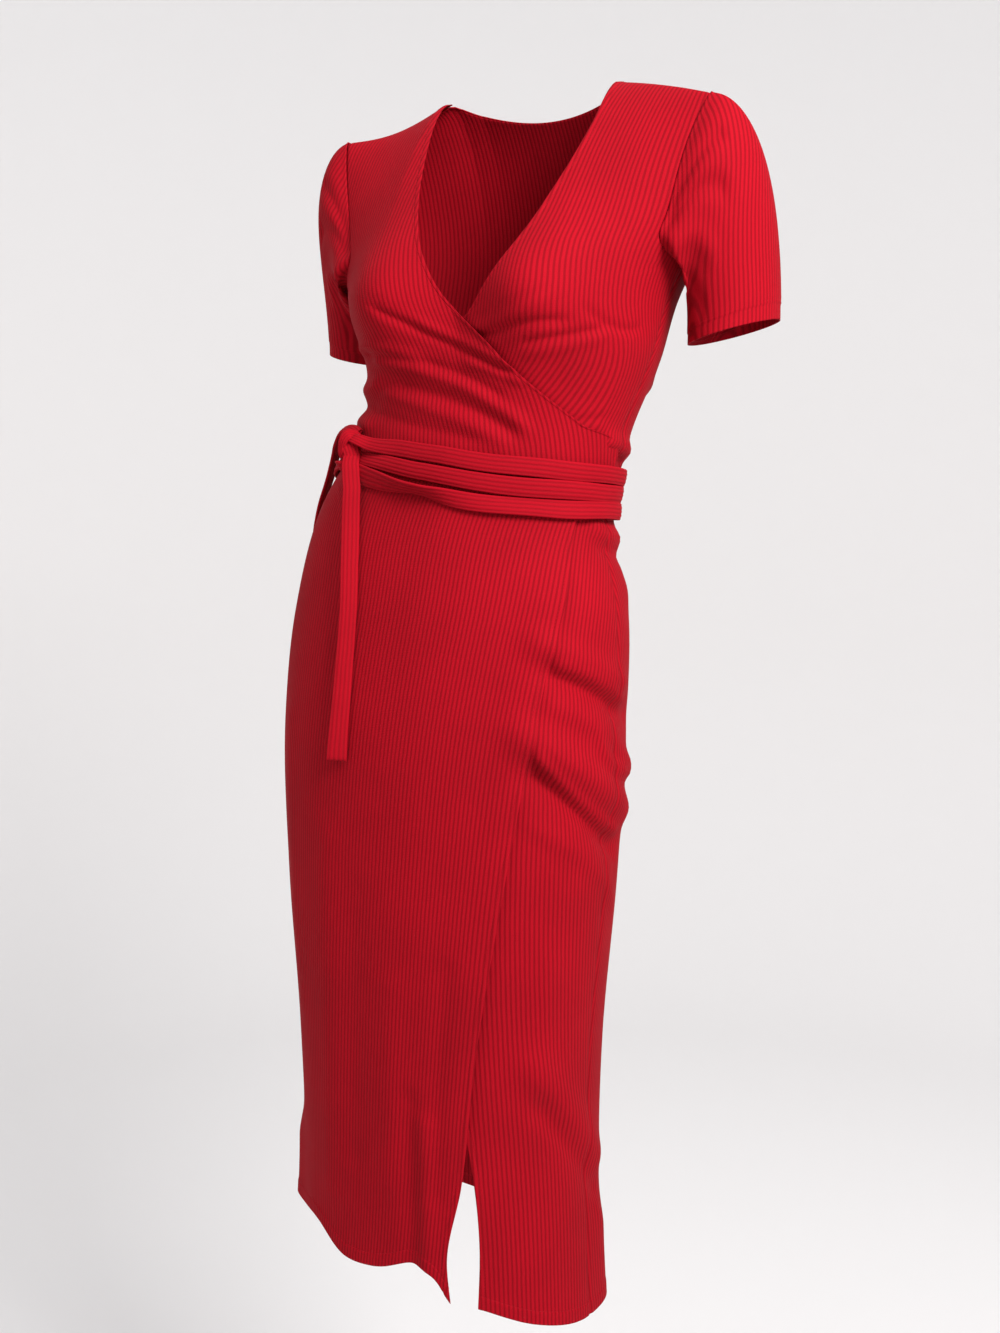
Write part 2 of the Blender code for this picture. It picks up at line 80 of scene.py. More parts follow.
def sweep():
    """Profile turned about the dress: a level floor, a quarter round, a straight wall."""
    bend = np.linspace(0, pi / 2, 13)
    out = np.concatenate([[0.001, 1.0], SWEEP_RADIUS - SWEEP_ROUND * (1 - np.sin(bend)), [SWEEP_RADIUS]])
    up = np.concatenate([[0, 0], SWEEP_ROUND * (1 - np.cos(bend)), [SWEEP_TOP]]) + FLOOR_HEIGHT
    turn = np.linspace(0, 2 * pi, 72, endpoint=False)
    points = np.stack([
        out[:, None] * np.cos(turn), out[:, None] * np.sin(turn), up[:, None] + 0 * turn,
    ], axis=-1)
    index = np.arange(points[..., 0].size).reshape(points.shape[:2])
    index = np.hstack([index, index[:, :1]])
    quads = np.stack([index[:-1, :-1], index[:-1, 1:], index[1:, 1:], index[1:, :-1]], axis=-1)
    mesh = bpy.data.meshes.new("sweep")
    mesh.from_pydata(points.reshape(-1, 3).tolist(), [], quads.reshape(-1, 4).tolist())
    mesh.shade_smooth()
    return bpy.data.objects.new("sweep", mesh)


def plain_material(name, colour, **settings):
    """Material of one colour: the settings are the shader's sockets."""
    material = bpy.data.materials.new(name)
    material.use_nodes = True
    shader = material.node_tree.nodes["Principled BSDF"]
    shader.inputs["Base Color"].default_value = (*linear(colour), 1)
    for socket, value in settings.items():
        shader.inputs[socket.replace("_", " ")].default_value = value
    return material


# Matt wall paint: a soft, even off-white with no shine.
backdrop = sweep()
scene.collection.objects.link(backdrop)
backdrop.data.materials.append(plain_material("matt_paint", "#E9E7E6", Roughness=0.9))

LAMP_WIDE, LAMP_AIM = 0.8, Vector((0, 0, -0.45))
for name, place, watts in (
    ("window", (1.45, -0.74, 0.62), 60.0),
    ("overhead", (-0.10, -0.80, 1.45), 9.0),
):
    lamp = bpy.data.objects.new(name, bpy.data.lights.new(name, "AREA"))
    lamp.data.size, lamp.data.energy = LAMP_WIDE, watts
    lamp.location = place
    lamp.rotation_euler = (Vector(place) - LAMP_AIM).to_track_quat("Z", "Y").to_euler()
    scene.collection.objects.link(lamp)
scene.world = bpy.data.worlds.new("room")
scene.world.use_nodes = True
room = scene.world.node_tree.nodes["Background"]
room.inputs["Color"].default_value = (*linear("#F4F6FA"), 1)
room.inputs["Strength"].default_value = 0.80
scene.view_settings.view_transform = "Standard"


# ==== Right front bodice =========================================================================
# The over front: one cut piece of rib jersey from the right side seam to the left one. Its front
# edge is turned in and stitched down, and it is drawn in diagonal creases towards the left waist.

# Level sections of the worn dress, in metres: the form that every piece lies on.
SECTIONS = np.array([
    # height  half_width  front   back   lean_x  lean_y
    (0.000, 0.210, 0.070, 0.084, 0.000, 0.014),
    (-0.060, 0.200, 0.076, 0.088, 0.000, 0.012),
    (-0.130, 0.178, 0.086, 0.096, -0.002, 0.008),
    (-0.190, 0.152, 0.092, 0.098, -0.006, 0.002),
    (-0.240, 0.135, 0.088, 0.092, -0.002, -0.004),
    (-0.300, 0.128, 0.084, 0.084, -0.017, -0.012),
    (-0.370, 0.140, 0.090, 0.092, -0.043, -0.020),
    (-0.460, 0.159, 0.104, 0.110, -0.045, -0.028),
    (-0.560, 0.162, 0.114, 0.122, -0.048, -0.034),
    (-0.700, 0.156, 0.118, 0.120, -0.050, -0.034),
    (-0.850, 0.144, 0.116, 0.114, -0.052, -0.032),
    (-1.000, 0.142, 0.114, 0.108, -0.053, -0.030),
    (-1.120, 0.150, 0.116, 0.108, -0.056, -0.030),
])[::-1]
SQUARE = 0.93
NECK_HALF, SHOULDER_HALF = 0.086, 0.182
SHOULDER_SLOPE, SHOULDER_SAG = 0.31, (0.0075, -0.0020)
SHOULDER_BACK, SHOULDER_FORWARD = 0.030, 0.31
SHOULDER_ROUND, SHOULDER_CURL = 0.150, 0.675
CUP_APART, CUP_HEIGHT, CUP_OUT = 0.077, -0.190, 0.034
CUP_WIDE, CUP_TALL = 0.050, 0.054

# Largest folds of the whole dress: straight lines on the cloth, ridges out and troughs in.
FOLDS = np.array([
    # angle_a  height_a  angle_b  height_b   out     spread
    (50.0, -0.482, 92.0, -0.518, 0.0050, 0.012),
    (54.0, -0.505, 104.0, -0.550, -0.0045, 0.011),
    (48.0, -0.560, 102.0, -0.632, 0.0075, 0.015),
    (52.0, -0.594, 96.0, -0.662, -0.0055, 0.013),
    (98.0, -0.590, 122.0, -0.598, 0.0040, 0.010),
    (58.0, -0.850, 100.0, -0.955, 0.0045, 0.016),
    (62.0, -0.890, 96.0, -0.985, -0.0040, 0.013),
    (-66.0, -0.970, -64.0, -1.050, 0.0070, 0.022),
    (104.0, -1.030, 108.0, -1.110, 0.0050, 0.022),
])
FOLD_RADIUS = 0.130    # of the body, turns an angle into a length along the cloth
FADE_OUT = 12    # degrees past a crease's ends in which its line still bends


def between(at, knots, values):
    """Smooth curve through a short table: a cubic between two rows, with slopes from their neighbours."""
    slopes = np.gradient(values, knots)
    low = np.clip(np.searchsorted(knots, at) - 1, 0, len(knots) - 2)
    step = knots[low + 1] - knots[low]
    t = np.clip((at - knots[low]) / step, 0.0, 1.0)
    start = values[low] * (1 + 2 * t) * (1 - t) ** 2 + slopes[low] * step * t * (1 - t) ** 2
    return start + values[low + 1] * t * t * (3 - 2 * t) + slopes[low + 1] * step * t * t * (t - 1)


def read(table, column, at):
    """A column of a table as a smooth curve, at a value of the first column."""
    return between(at, table[:, 0], table[:, column])


def ease(t):
    """Goes from 0 to 1 with no corner at either end."""
    t = np.clip(t, 0.0, 1.0)
    return t * t * (3 - 2 * t)


def shoulder_height(x):
    """Height of the shoulder seam at x: level inside the neck, then falling outwards in a slight hollow."""
    out = np.clip(np.abs(x) - NECK_HALF, 0.0, None)
    hollow = np.sin(pi * np.clip(out / (SHOULDER_HALF - NECK_HALF), 0, 1))
    return -SHOULDER_SLOPE * out - np.where(x < 0, *SHOULDER_SAG) * hollow


def shoulder_depth(x):
    """How far behind the axis the shoulder seam runs at x."""
    return SHOULDER_BACK - SHOULDER_FORWARD * np.clip(np.abs(x) - NECK_HALF, -0.020, 0.120)


def form(angle, height):
    """Point of the smooth form: a squarish ellipse at each height, with cups, closed in at the shoulders."""
    angle, height = np.broadcast_arrays(np.asarray(angle, float), np.asarray(height, float))
    half, front, rear, lean_x, lean_y = (
        read(SECTIONS, k, height) for k in range(1, 6)
    )
    side, ahead = np.sin(angle), np.cos(angle)
    x = lean_x + half * np.sign(side) * np.abs(side) ** SQUARE
    deep = np.where(ahead > 0, front, rear) * np.abs(ahead) ** SQUARE
    off_cup = ((np.abs(x - lean_x) - CUP_APART) / CUP_WIDE) ** 2 + ((height - CUP_HEIGHT) / CUP_TALL) ** 2
    y = lean_y - np.sign(ahead) * deep - CUP_OUT * np.exp(-off_cup) * np.clip(3 * ahead, 0, 1)
    below = np.clip((shoulder_height(x) - height) / SHOULDER_ROUND, 0.0, 1.0)
    y = shoulder_depth(x) + (y - shoulder_depth(x)) * (1 - (1 - below) ** 2) ** SHOULDER_CURL
    return np.stack([x, y, height], axis=-1)


def unit(vectors):
    """Vectors at length one."""
    return vectors / np.linalg.norm(vectors, axis=-1, keepdims=True)


def outward(angle, height, step=4e-4):
    """Unit normal of the form, from its slopes along the angle and down."""
    along = form(angle + step, height) - form(angle - step, height)
    up = form(angle, height) - form(angle, height - step)
    return unit(np.cross(along, up))


def straight_folds(angle, height, table):
    """Sum of bells across straight lines on the cloth, easing out at both ends."""
    total = np.zeros(np.broadcast(angle, height).shape)
    turned = np.where(angle > pi, angle - 2 * pi, angle)
    for angle_a, height_a, angle_b, height_b, out, spread in table:
        along = np.array([radians(angle_b - angle_a) * FOLD_RADIUS, height_b - height_a])
        length = np.hypot(*along)
        along /= length
        u = (turned - radians(angle_a)) * FOLD_RADIUS
        v = height - height_a
        run = u * along[0] + v * along[1]
        across = v * along[0] - u * along[1]
        past = np.clip(-run, 0, None) + np.clip(run - length, 0, None)
        total += out * np.exp(-((across / spread) ** 2) - (past / (1.3 * spread)) ** 2)
    return total


def bent_creases(angle, height, table):
    """Sum of bells across lines bent through three points, each a parabola of height over angle."""
    total = np.zeros(np.broadcast(angle, height).shape)
    degrees = np.degrees(angle)
    for a0, h0, a1, h1, a2, h2, out, spread in table:
        bend = np.polyfit((a0, a1, a2), (h0, h1, h2), 2)
        at = np.clip(degrees, min(a0, a2) - FADE_OUT, max(a0, a2) + FADE_OUT)
        slope = (2 * bend[0] * at + bend[1]) / radians(FOLD_RADIUS)
        across = (height - np.polyval(bend, at)) / np.sqrt(1 + slope**2)
        past = np.clip(min(a0, a2) - degrees, 0, None) + np.clip(degrees - max(a0, a2), 0, None)
        past *= radians(FOLD_RADIUS)
        total += out * np.exp(-((across / spread) ** 2) - (past / (2 * spread)) ** 2)
    return total


def cloth(angle, height, lift, creases=()):
    """Point of a piece: the form, out along its normal by the lift, the folds and its own creases."""
    out = np.asarray(lift) + straight_folds(angle, height, FOLDS) + bent_creases(angle, height, creases)
    return form(angle, height) + outward(angle, height) * out[..., None]


def angle_at(x, height, behind=False):
    """Angle at which the form has this x, in front or behind."""
    half = read(SECTIONS, 1, height)
    lean_x = read(SECTIONS, 4, height)
    side = np.clip((x - lean_x) / half, -1.0, 1.0)
    angle = np.arcsin(np.sign(side) * np.abs(side) ** (1 / SQUARE))
    return pi - angle if behind else angle


# Lines of the cut: waist seam, armholes and the front's neck edge.
WALL, OVER_LIFT = 0.0010, 0.0032
WAIST_HEIGHT, WAIST_TILT = -0.337, 0.016
UNDERARM_HEIGHT, ARMHOLE_SHARE = -0.165, 0.53
BODICE_LONG, SLEEVE_LONG, SKIRT_LONG = 0.36, 0.19, 0.70
FOOT_SHARE = 17    # a bodice's rows fall onto the waist seam in the lowest seventeenth
ARMHOLE = np.array([
    # height  right   left   back
    (-0.165, 0.165, 0.165, 0.165),
    (-0.150, 0.143, 0.157, 0.163),
    (-0.125, 0.148, 0.160, 0.168),
    (-0.100, 0.158, 0.165, 0.173),
    (-0.060, 0.173, 0.173, 0.178),
    (-0.030, 0.182, 0.182, 0.182),
])
RIGHT_NECK_EDGE = np.array([
    # share  angle  height
    (0.00, 89.0, -0.3530),
    (0.06, 88.0, -0.3220),
    (0.20, 58.0, -0.2980),
    (0.36, 28.0, -0.2620),
    (0.48, 10.0, -0.2270),
    (0.57, -2.0, -0.1960),
    (0.66, -10.5, -0.1580),
    (0.78, -17.0, -0.1050),
    (0.90, -20.8, -0.0450),
    (1.00, -24.0, 0.0000),
])


def waist(angle):
    """Height of the waist seam."""
    return WAIST_HEIGHT - WAIST_TILT * np.sin(angle)


def armhole_height(share):
    """Height of the armhole edge, from the underarm (0) to the shoulder (1), closer together at the top."""
    top = -SHOULDER_SLOPE * (SHOULDER_HALF - NECK_HALF)
    return UNDERARM_HEIGHT + (top - UNDERARM_HEIGHT) * np.sin(0.5 * pi * share)


def armhole_x(height, side, behind):
    """Where the armhole edge stands across the frame at a height, on the front or on the back."""
    column = 3 if behind else 1 + (side > 0)
    lean_x = read(SECTIONS, 4, height)
    return lean_x + side * read(ARMHOLE, column, height)


def side_edge(share, side, behind):
    """(angle, height) of a bodice piece's outer edge: up its side seam, then up its armhole."""
    low = np.clip(share / ARMHOLE_SHARE, 0, 1)
    high = np.clip((share - ARMHOLE_SHARE) / (1 - ARMHOLE_SHARE), 0, 1)
    foot = waist(side * 0.5 * pi)
    height = np.where(share < ARMHOLE_SHARE, foot + (UNDERARM_HEIGHT - foot) * low, armhole_height(high))
    angle = angle_at(armhole_x(height, side, behind), height)
    angle = np.where(share <= ARMHOLE_SHARE, side * 0.5 * pi, angle)
    return (pi - angle if behind else angle), height


def shoulder_row(across, side, behind):
    """(angle, height) along a shoulder seam, from the armhole (0) to the neck point (1)."""
    x = side * (SHOULDER_HALF + (NECK_HALF - SHOULDER_HALF) * across)
    height = shoulder_height(x)
    return angle_at(x, height, behind), height


def run_along(points, axis):
    """Distance along a grid's rows or columns, from its first point."""
    steps = np.linalg.norm(np.diff(points, axis=axis), axis=-1)
    first = np.zeros_like(np.take(steps, [0], axis=axis))
    return np.cumsum(np.concatenate([first, steps], axis=axis), axis=axis)


def close_to_edge(width, fine, step, count):
    """Shares of a width, from an edge (0) inwards: fine steps first, then even ones to the far side (1)."""
    width = np.asarray(width, float)[..., None]
    near = np.arange(fine) * step
    far = fine * step + (width - fine * step) * np.linspace(0, 1, count - fine + 1)
    return np.concatenate([near + 0 * width, far], axis=-1) / width


# The turned edge: doubled cloth stands proud of the piece, sunk where the seam thread holds it down.
FINE_STEP, HEM_STEP = 0.0008, 0.0009
FINE_ROWS, EDGE_STITCH, HEM_STITCH = 12, 6, 13    # rows next to an edge, and those that are stitched
EDGE_WIDE, EDGE_PROUD, STITCH_SINK = 0.0060, 0.00055, 0.00060
STITCH_IN, HEM_DEPTH = EDGE_STITCH * FINE_STEP, HEM_STITCH * HEM_STEP
HEM_WIDE = HEM_DEPTH + 0.001
stitched = []    # (points, normals) of each line of stitching, filled in by the pieces


def turned_edge(off_edge, wide=EDGE_WIDE, stitch_in=STITCH_IN):
    """Lift of a turned and stitched edge at a distance from it."""
    proud = EDGE_PROUD * (1 - ease((off_edge - wide + 0.0012) / 0.0024))
    return proud - STITCH_SINK * np.exp(-(((off_edge - stitch_in) / 0.0008) ** 2))


def seam_edge(off_edge):
    """Lift of an edge that goes down into a seam."""
    return -0.0011 * np.exp(-((off_edge / 0.0022) ** 2))


# Ribs run up the cloth. Their place is the distance along each level section of the form.
WALE_ANGLES, WALE_HEIGHTS = np.radians(np.arange(-130, 311, 2.0)), np.linspace(-1.13, 0.0, 114)
WALES = run_along(form(WALE_ANGLES[None, :], WALE_HEIGHTS[:, None]), 1)


def wale(angle, height, middle):
    """Distance across the ribs at a point, from the rib at the middle angle, read from a table."""
    def place(at, knots):
        return np.clip((at - knots[0]) / (knots[1] - knots[0]), 0, len(knots) - 1.001)

    def distance(at):
        row, column = place(height, WALE_HEIGHTS), place(at, WALE_ANGLES)
        i, j = row.astype(int), column.astype(int)
        a, b = row - i, column - j
        low = WALES[i, j] * (1 - b) + WALES[i, j + 1] * b
        return low * (1 - a) + (WALES[i + 1, j] * (1 - b) + WALES[i + 1, j + 1] * b) * a
    return distance(angle) - distance(np.full_like(angle, middle))


def rib_shift(angle, height, at, table):
    """Sideways drift of the ribs: read down each column of the table, then across between its angles."""
    down = np.stack([read(table[::-1], k + 1, height) for k in range(len(at))])
    degrees = np.clip(np.degrees(angle), at[0], at[-1])
    i = np.clip(np.searchsorted(at, degrees) - 1, 0, len(at) - 2)
    b = (degrees - np.array(at)[i]) / (np.array(at)[i + 1] - np.array(at)[i])
    low, high = (np.take_along_axis(down, k[None], 0)[0] for k in (i, i + 1))
    return low * (1 - b) + high * b


def rib_map(angle, height, middle, shift_at, shifts):
    """Place across the ribs and up them, at each point of a piece on the form."""
    across = wale(angle, height, middle) - rib_shift(angle, height, shift_at, shifts)
    return np.stack([across, height], axis=-1)


def knit_object(name, points, ribs, wall=WALL, ring=False, inwards=False):
    """Object from a grid of points, rows going up and columns with rising angle, and its rib map.

    Solidify gives it its wall, and a ring's last column is its first.
    """
    rows, columns = points.shape[:2]
    if ring:
        columns -= 1
        points = points[:, :-1]
    wide = ribs.shape[1]
    i, j = np.meshgrid(np.arange(rows - 1), np.arange(wide - 1), indexing="ij")
    corners_i = np.stack([i, i, i + 1, i + 1], axis=-1).reshape(-1)
    corners_j = np.stack([j, j + 1, j + 1, j], axis=-1).reshape(-1)
    mesh = bpy.data.meshes.new(name)
    mesh.vertices.add(rows * columns)
    mesh.vertices.foreach_set("co", points.astype(np.float32).reshape(-1))
    mesh.loops.add(len(corners_i))
    mesh.loops.foreach_set("vertex_index", (corners_i * columns + corners_j % columns).astype(np.int32))
    mesh.polygons.add(len(corners_i) // 4)
    mesh.polygons.foreach_set("loop_start", np.arange(0, len(corners_i), 4, dtype=np.int32))
    mesh.uv_layers.new(name="rib")
    mesh.uv_layers["rib"].data.foreach_set("uv", ribs[corners_i, corners_j].astype(np.float32).reshape(-1))
    mesh.update(calc_edges=True)
    mesh.validate()
    mesh.shade_smooth()
    piece = bpy.data.objects.new(name, mesh)
    scene.collection.objects.link(piece)
    solidify = piece.modifiers.new("wall", "SOLIDIFY")
    solidify.thickness = wall
    solidify.offset = -1.0 if inwards else 1.0
    return piece


# Rib jersey, cotton and viscose: knitted ribs with a narrow sunk groove between them, soft and
# matt, with a short nap that lightens it where it turns away.
# The grooves are also coloured a darker red than the ribs: painted shade for the shade that falls in them.
RIB_PITCH = 0.0040
RIB_HIGH, LOOP_HIGH, NAP_HIGH = 0.00017, 0.00003, 0.00012
LOOP_PITCH = 0.0014    # the real loops are 0.7 mm apart; they are drawn twice as coarse so that they show
# The middle colour is painted shade: the darker red that the grooves are coloured for the shade in them.
KNIT, GROOVE_SHADE, NAP = "#980617", "#7A0410", "#D8505C"


def rib_jersey(name, pitch=RIB_PITCH, groove_shade=GROOVE_SHADE):
    """Material of the knit: ridge = smooth step of cos(2 pi across / pitch), and loops along each rib; its
    colour is darker in the grooves, painted shade.
    """
    material = plain_material(name, KNIT, Roughness=0.82, Specular_IOR_Level=0.07, Sheen_Weight=0.02,
                              Sheen_Roughness=0.45, Sheen_Tint=(*linear(NAP), 1))
    tree = material.node_tree
    shader = tree.nodes["Principled BSDF"]
    place = add(tree, "ShaderNodeTexCoord")
    ribs = add(tree, "ShaderNodeUVMap", uv_map="rib")
    split = add(tree, "ShaderNodeSeparateXYZ", [("Vector", ribs.outputs["UV"])])
    # Uneven tension: the ribs wander by a few hundredths of a rib.
    wander = add(tree, "ShaderNodeTexNoise", [("Vector", place.outputs["Object"])], Scale=70.0, Detail=2.0)
    shift = add(tree, "ShaderNodeMath", [(0, wander.outputs["Fac"])], operation="MULTIPLY", _1=0.0007)
    across = add(tree, "ShaderNodeMath", [(0, split.outputs["X"]), (1, shift.outputs[0])], operation="ADD")
    phase = add(tree, "ShaderNodeMath", [(0, across.outputs[0])], operation="MULTIPLY", _1=2 * pi / pitch)
    wave = add(tree, "ShaderNodeMath", [(0, phase.outputs[0])], operation="COSINE")
    ridge = add(tree, "ShaderNodeMapRange", [("Value", wave.outputs[0])], interpolation_type="SMOOTHSTEP",
                From_Min=-1.0, From_Max=0.55, To_Min=0.0, To_Max=1.0)
    loop_phase = add(tree, "ShaderNodeMath", [(0, split.outputs["Y"])], operation="MULTIPLY",
                     _1=2 * pi / LOOP_PITCH)
    loops = add(tree, "ShaderNodeMath", [(0, loop_phase.outputs[0])], operation="SINE")
    loops_on = add(tree, "ShaderNodeMath", [(0, loops.outputs[0]), (1, ridge.outputs[0])],
                   operation="MULTIPLY")
    nap = add(tree, "ShaderNodeTexNoise", [("Vector", place.outputs["Object"])], Scale=1400.0, Detail=2.0)
    height = add(tree, "ShaderNodeMath", [(0, ridge.outputs[0])], operation="MULTIPLY", _1=RIB_HIGH)
    height = add(tree, "ShaderNodeMath", [(0, loops_on.outputs[0]), (2, height.outputs[0])],
                 operation="MULTIPLY_ADD", _1=LOOP_HIGH)
    height = add(tree, "ShaderNodeMath", [(0, nap.outputs["Fac"]), (2, height.outputs[0])],
                 operation="MULTIPLY_ADD", _1=NAP_HIGH)
    bump = add(tree, "ShaderNodeBump", [("Height", height.outputs[0])], Strength=1.0, Distance=1.0)
    # Painted shade: the colour runs from the darker groove red up to the rib red, for the shade that falls
    # in the grooves.
    colour = add(tree, "ShaderNodeMix", [(0, ridge.outputs[0])], data_type="RGBA")
    for socket in colour.inputs:
        if socket.type == "RGBA":
            socket.default_value = (*linear(groove_shade if socket.name == "A" else KNIT), 1)
    patches = add(tree, "ShaderNodeTexNoise", [("Vector", place.outputs["Object"])], Scale=16.0, Detail=3.0)
    wear = add(tree, "ShaderNodeMapRange", [("Value", patches.outputs["Fac"])],
               From_Min=0.3, From_Max=0.7, To_Min=0.94, To_Max=1.06)
    shade = add(tree, "ShaderNodeVectorMath",
                [(0, colour.outputs[2]), (1, wear.outputs[0])], operation="MULTIPLY")
    tree.links.new(shade.outputs[0], shader.inputs["Base Color"])
    tree.links.new(bump.outputs["Normal"], shader.inputs["Normal"])
    return material


jersey = rib_jersey("rib_jersey")


def bodice_front(name, side, neck_edge, lift, creases, shift_at, shifts, columns=96, rows=120):
    """A front: from its side seam and armhole across to its neck edge, waist seam to shoulder seam."""
    share = np.linspace(0, 1, rows + 1)[:, None]
    outer_angle, outer_height = side_edge(share, side, behind=False)
    edge_angle = np.radians(read(neck_edge, 1, share))
    edge_height = read(neck_edge, 2, share)

    def place(across):
        angle = outer_angle + (edge_angle - outer_angle) * across
        height = outer_height + (edge_height - outer_height) * across
        foot = waist(angle)
        height = height + (foot - height) * np.clip(1 - share * FOOT_SHARE, 0, 1)
        top_angle, top_height = shoulder_row(across[-1], side, behind=False)
        angle = angle + (top_angle - angle[-1]) * share**6
        return angle, height + (top_height - height[-1]) * share**6

    even = np.broadcast_to(np.linspace(0, 1, 40), (rows + 1, 40))
    width = run_along(form(*place(even)), 1)[:, -1]
    across = 1 - close_to_edge(width, FINE_ROWS, FINE_STEP, columns)[:, ::-1]
    angle, height = place(across)
    lift = lift + turned_edge((1 - across) * width[:, None]) + seam_edge(across * width[:, None])
    lift = lift + seam_edge((1 - share) * BODICE_LONG)
    if side > 0:
        angle, height, lift = angle[:, ::-1], height[:, ::-1], lift[:, ::-1]
    points = cloth(angle, height, lift, creases)
    on_stitch = EDGE_STITCH if side > 0 else -1 - EDGE_STITCH
    stitched.append((points[:, on_stitch], outward(angle, height)[:, on_stitch]))
    return knit_object(name, points, rib_map(angle, height, 0.0, shift_at, shifts))


RIGHT_SHIFT_AT = (-60.0, 40.0)
RIGHT_SHIFTS = np.array([
    # height  at -60   at 40
    (0.000, 0.000, 0.000),
    (-0.070, -0.008, -0.008),
    (-0.105, -0.012, -0.012),
    (-0.135, -0.011, -0.011),
    (-0.165, -0.004, -0.004),
    (-0.200, 0.005, 0.006),
    (-0.240, 0.016, 0.022),
    (-0.280, 0.030, 0.043),
    (-0.330, 0.050, 0.070),
    (-0.370, 0.066, 0.092),
])
RIGHT_FRONT_CREASES = (
    # three points of a line (angle, height), then how far out and how wide
    (-24.0, -0.201, -7.0, -0.2245, 18.0, -0.2530, -0.0032, 0.0042),
    (-9.0, -0.217, 2.0, -0.2310, 17.0, -0.2460, 0.0026, 0.0050),
    (6.0, -0.248, 15.0, -0.2545, 23.5, -0.2610, 0.0022, 0.0042),
    (-42.0, -0.232, -12.0, -0.2455, 17.0, -0.2740, -0.0024, 0.0050),
    (-34.0, -0.240, -4.0, -0.2590, 30.0, -0.2970, 0.0033, 0.0060),
    (-51.0, -0.226, -34.0, -0.2290, -17.5, -0.2400, 0.0030, 0.0060),
    (-20.0, -0.264, 4.0, -0.2800, 26.0, -0.3030, -0.0024, 0.0055),
    (-30.0, -0.270, -2.0, -0.2880, 25.0, -0.3130, 0.0022, 0.0060),
    (-40.0, -0.284, -12.0, -0.2980, 12.0, -0.3110, -0.0016, 0.0055),
    (-78.0, -0.260, -60.0, -0.2620, -42.0, -0.2600, 0.0042, 0.0075),
    (-78.0, -0.290, -62.0, -0.2920, -44.0, -0.2960, 0.0044, 0.0080),
    (-76.0, -0.276, -60.0, -0.2780, -44.0, -0.2800, -0.0018, 0.0060),
)
piece = bodice_front("right_front_bodice_knit", -1, RIGHT_NECK_EDGE, OVER_LIFT, RIGHT_FRONT_CREASES,
                     RIGHT_SHIFT_AT, RIGHT_SHIFTS)
piece.data.materials.append(jersey)
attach(piece, "root")
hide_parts("right_front_bodice")


# ==== Left front bodice ==========================================================================
# The under front, cut like the other one and sewn into the right side seam beneath it. Its creases
# run out from under the crossing and round the bust.
LEFT_NECK_EDGE = np.array([
    # share  angle  height
    (0.00, -70.0, -0.3220),
    (0.06, -69.0, -0.2940),
    (0.20, -48.0, -0.2680),
    (0.36, -23.0, -0.2410),
    (0.48, -4.0, -0.2200),
    (0.57, 7.0, -0.1980),
    (0.66, 16.5, -0.1620),
    (0.78, 21.2, -0.1050),
    (0.90, 24.5, -0.0450),
    (1.00, 24.0, 0.0000),
])
LEFT_SIDE_CREASES = (
    (80.0, -0.312, 92.0, -0.3140, 106.0, -0.3180, 0.0050, 0.0070),
    (78.0, -0.323, 88.0, -0.3250, 100.0, -0.3290, -0.0026, 0.0040),
)
LEFT_FRONT_CREASES = LEFT_SIDE_CREASES + (
    (6.5, -0.226, 17.2, -0.2220, 39.5, -0.2170, -0.0026, 0.0040),
    (8.5, -0.218, 20.3, -0.2140, 33.0, -0.2040, 0.0014, 0.0060),
    (28.7, -0.233, 43.5, -0.2280, 54.2, -0.2230, -0.0020, 0.0035),
    (30.0, -0.241, 44.0, -0.2360, 56.0, -0.2300, 0.0010, 0.0050),
    (52.5, -0.212, 61.3, -0.2200, 72.0, -0.2210, -0.0019, 0.0040),
    (56.0, -0.2950, 63.0, -0.2945, 70.0, -0.2930, -0.0010, 0.0040),
)
LEFT_SHIFT_AT = (25.0, 45.0, 70.0)
LEFT_SHIFTS = np.array([
    # height  at 25   at 45   at 70
    (0.000, 0.000, 0.000, 0.000),
    (-0.110, -0.014, -0.014, -0.006),
    (-0.150, -0.016, -0.012, -0.005),
    (-0.190, -0.012, -0.004, 0.000),
    (-0.220, -0.024, -0.014, -0.006),
    (-0.270, -0.050, -0.036, -0.020),
    (-0.330, -0.078, -0.058, -0.036),
])
piece = bodice_front("left_front_bodice_knit", 1, LEFT_NECK_EDGE, 0.0, LEFT_FRONT_CREASES,
                     LEFT_SHIFT_AT, LEFT_SHIFTS)
piece.data.materials.append(jersey)
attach(piece, "root")
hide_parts("left_front_bodice")


# ==== Back bodice ================================================================================
# The back in one piece, side seam to side seam, with a shallow turned neck edge. It falls in a few
# soft creases into the waist.
BACK_NECK_DROP = 0.018
SHOULDER_SHARE = 5 / 18
BACK_CREASES = LEFT_SIDE_CREASES + (
    (118.0, -0.262, 140.0, -0.2740, 166.0, -0.2780, 0.0028, 0.0065),
    (126.0, -0.292, 150.0, -0.3020, 178.0, -0.3040, 0.0036, 0.0070),
    (140.0, -0.284, 158.0, -0.2910, 176.0, -0.2910, -0.0016, 0.0060),
    (186.0, -0.300, 214.0, -0.2920, 240.0, -0.2780, 0.0034, 0.0065),
    (196.0, -0.268, 222.0, -0.2600, 244.0, -0.2480, 0.0017, 0.0065),
    (200.0, -0.284, 220.0, -0.2760, 240.0, -0.2640, -0.0014, 0.0060),
)


def back_lift(angle):
    """The back's right half stands out as far as the right front, so that their seams meet."""
    return OVER_LIFT * ease((np.degrees(angle) - 165.0) / 30.0)


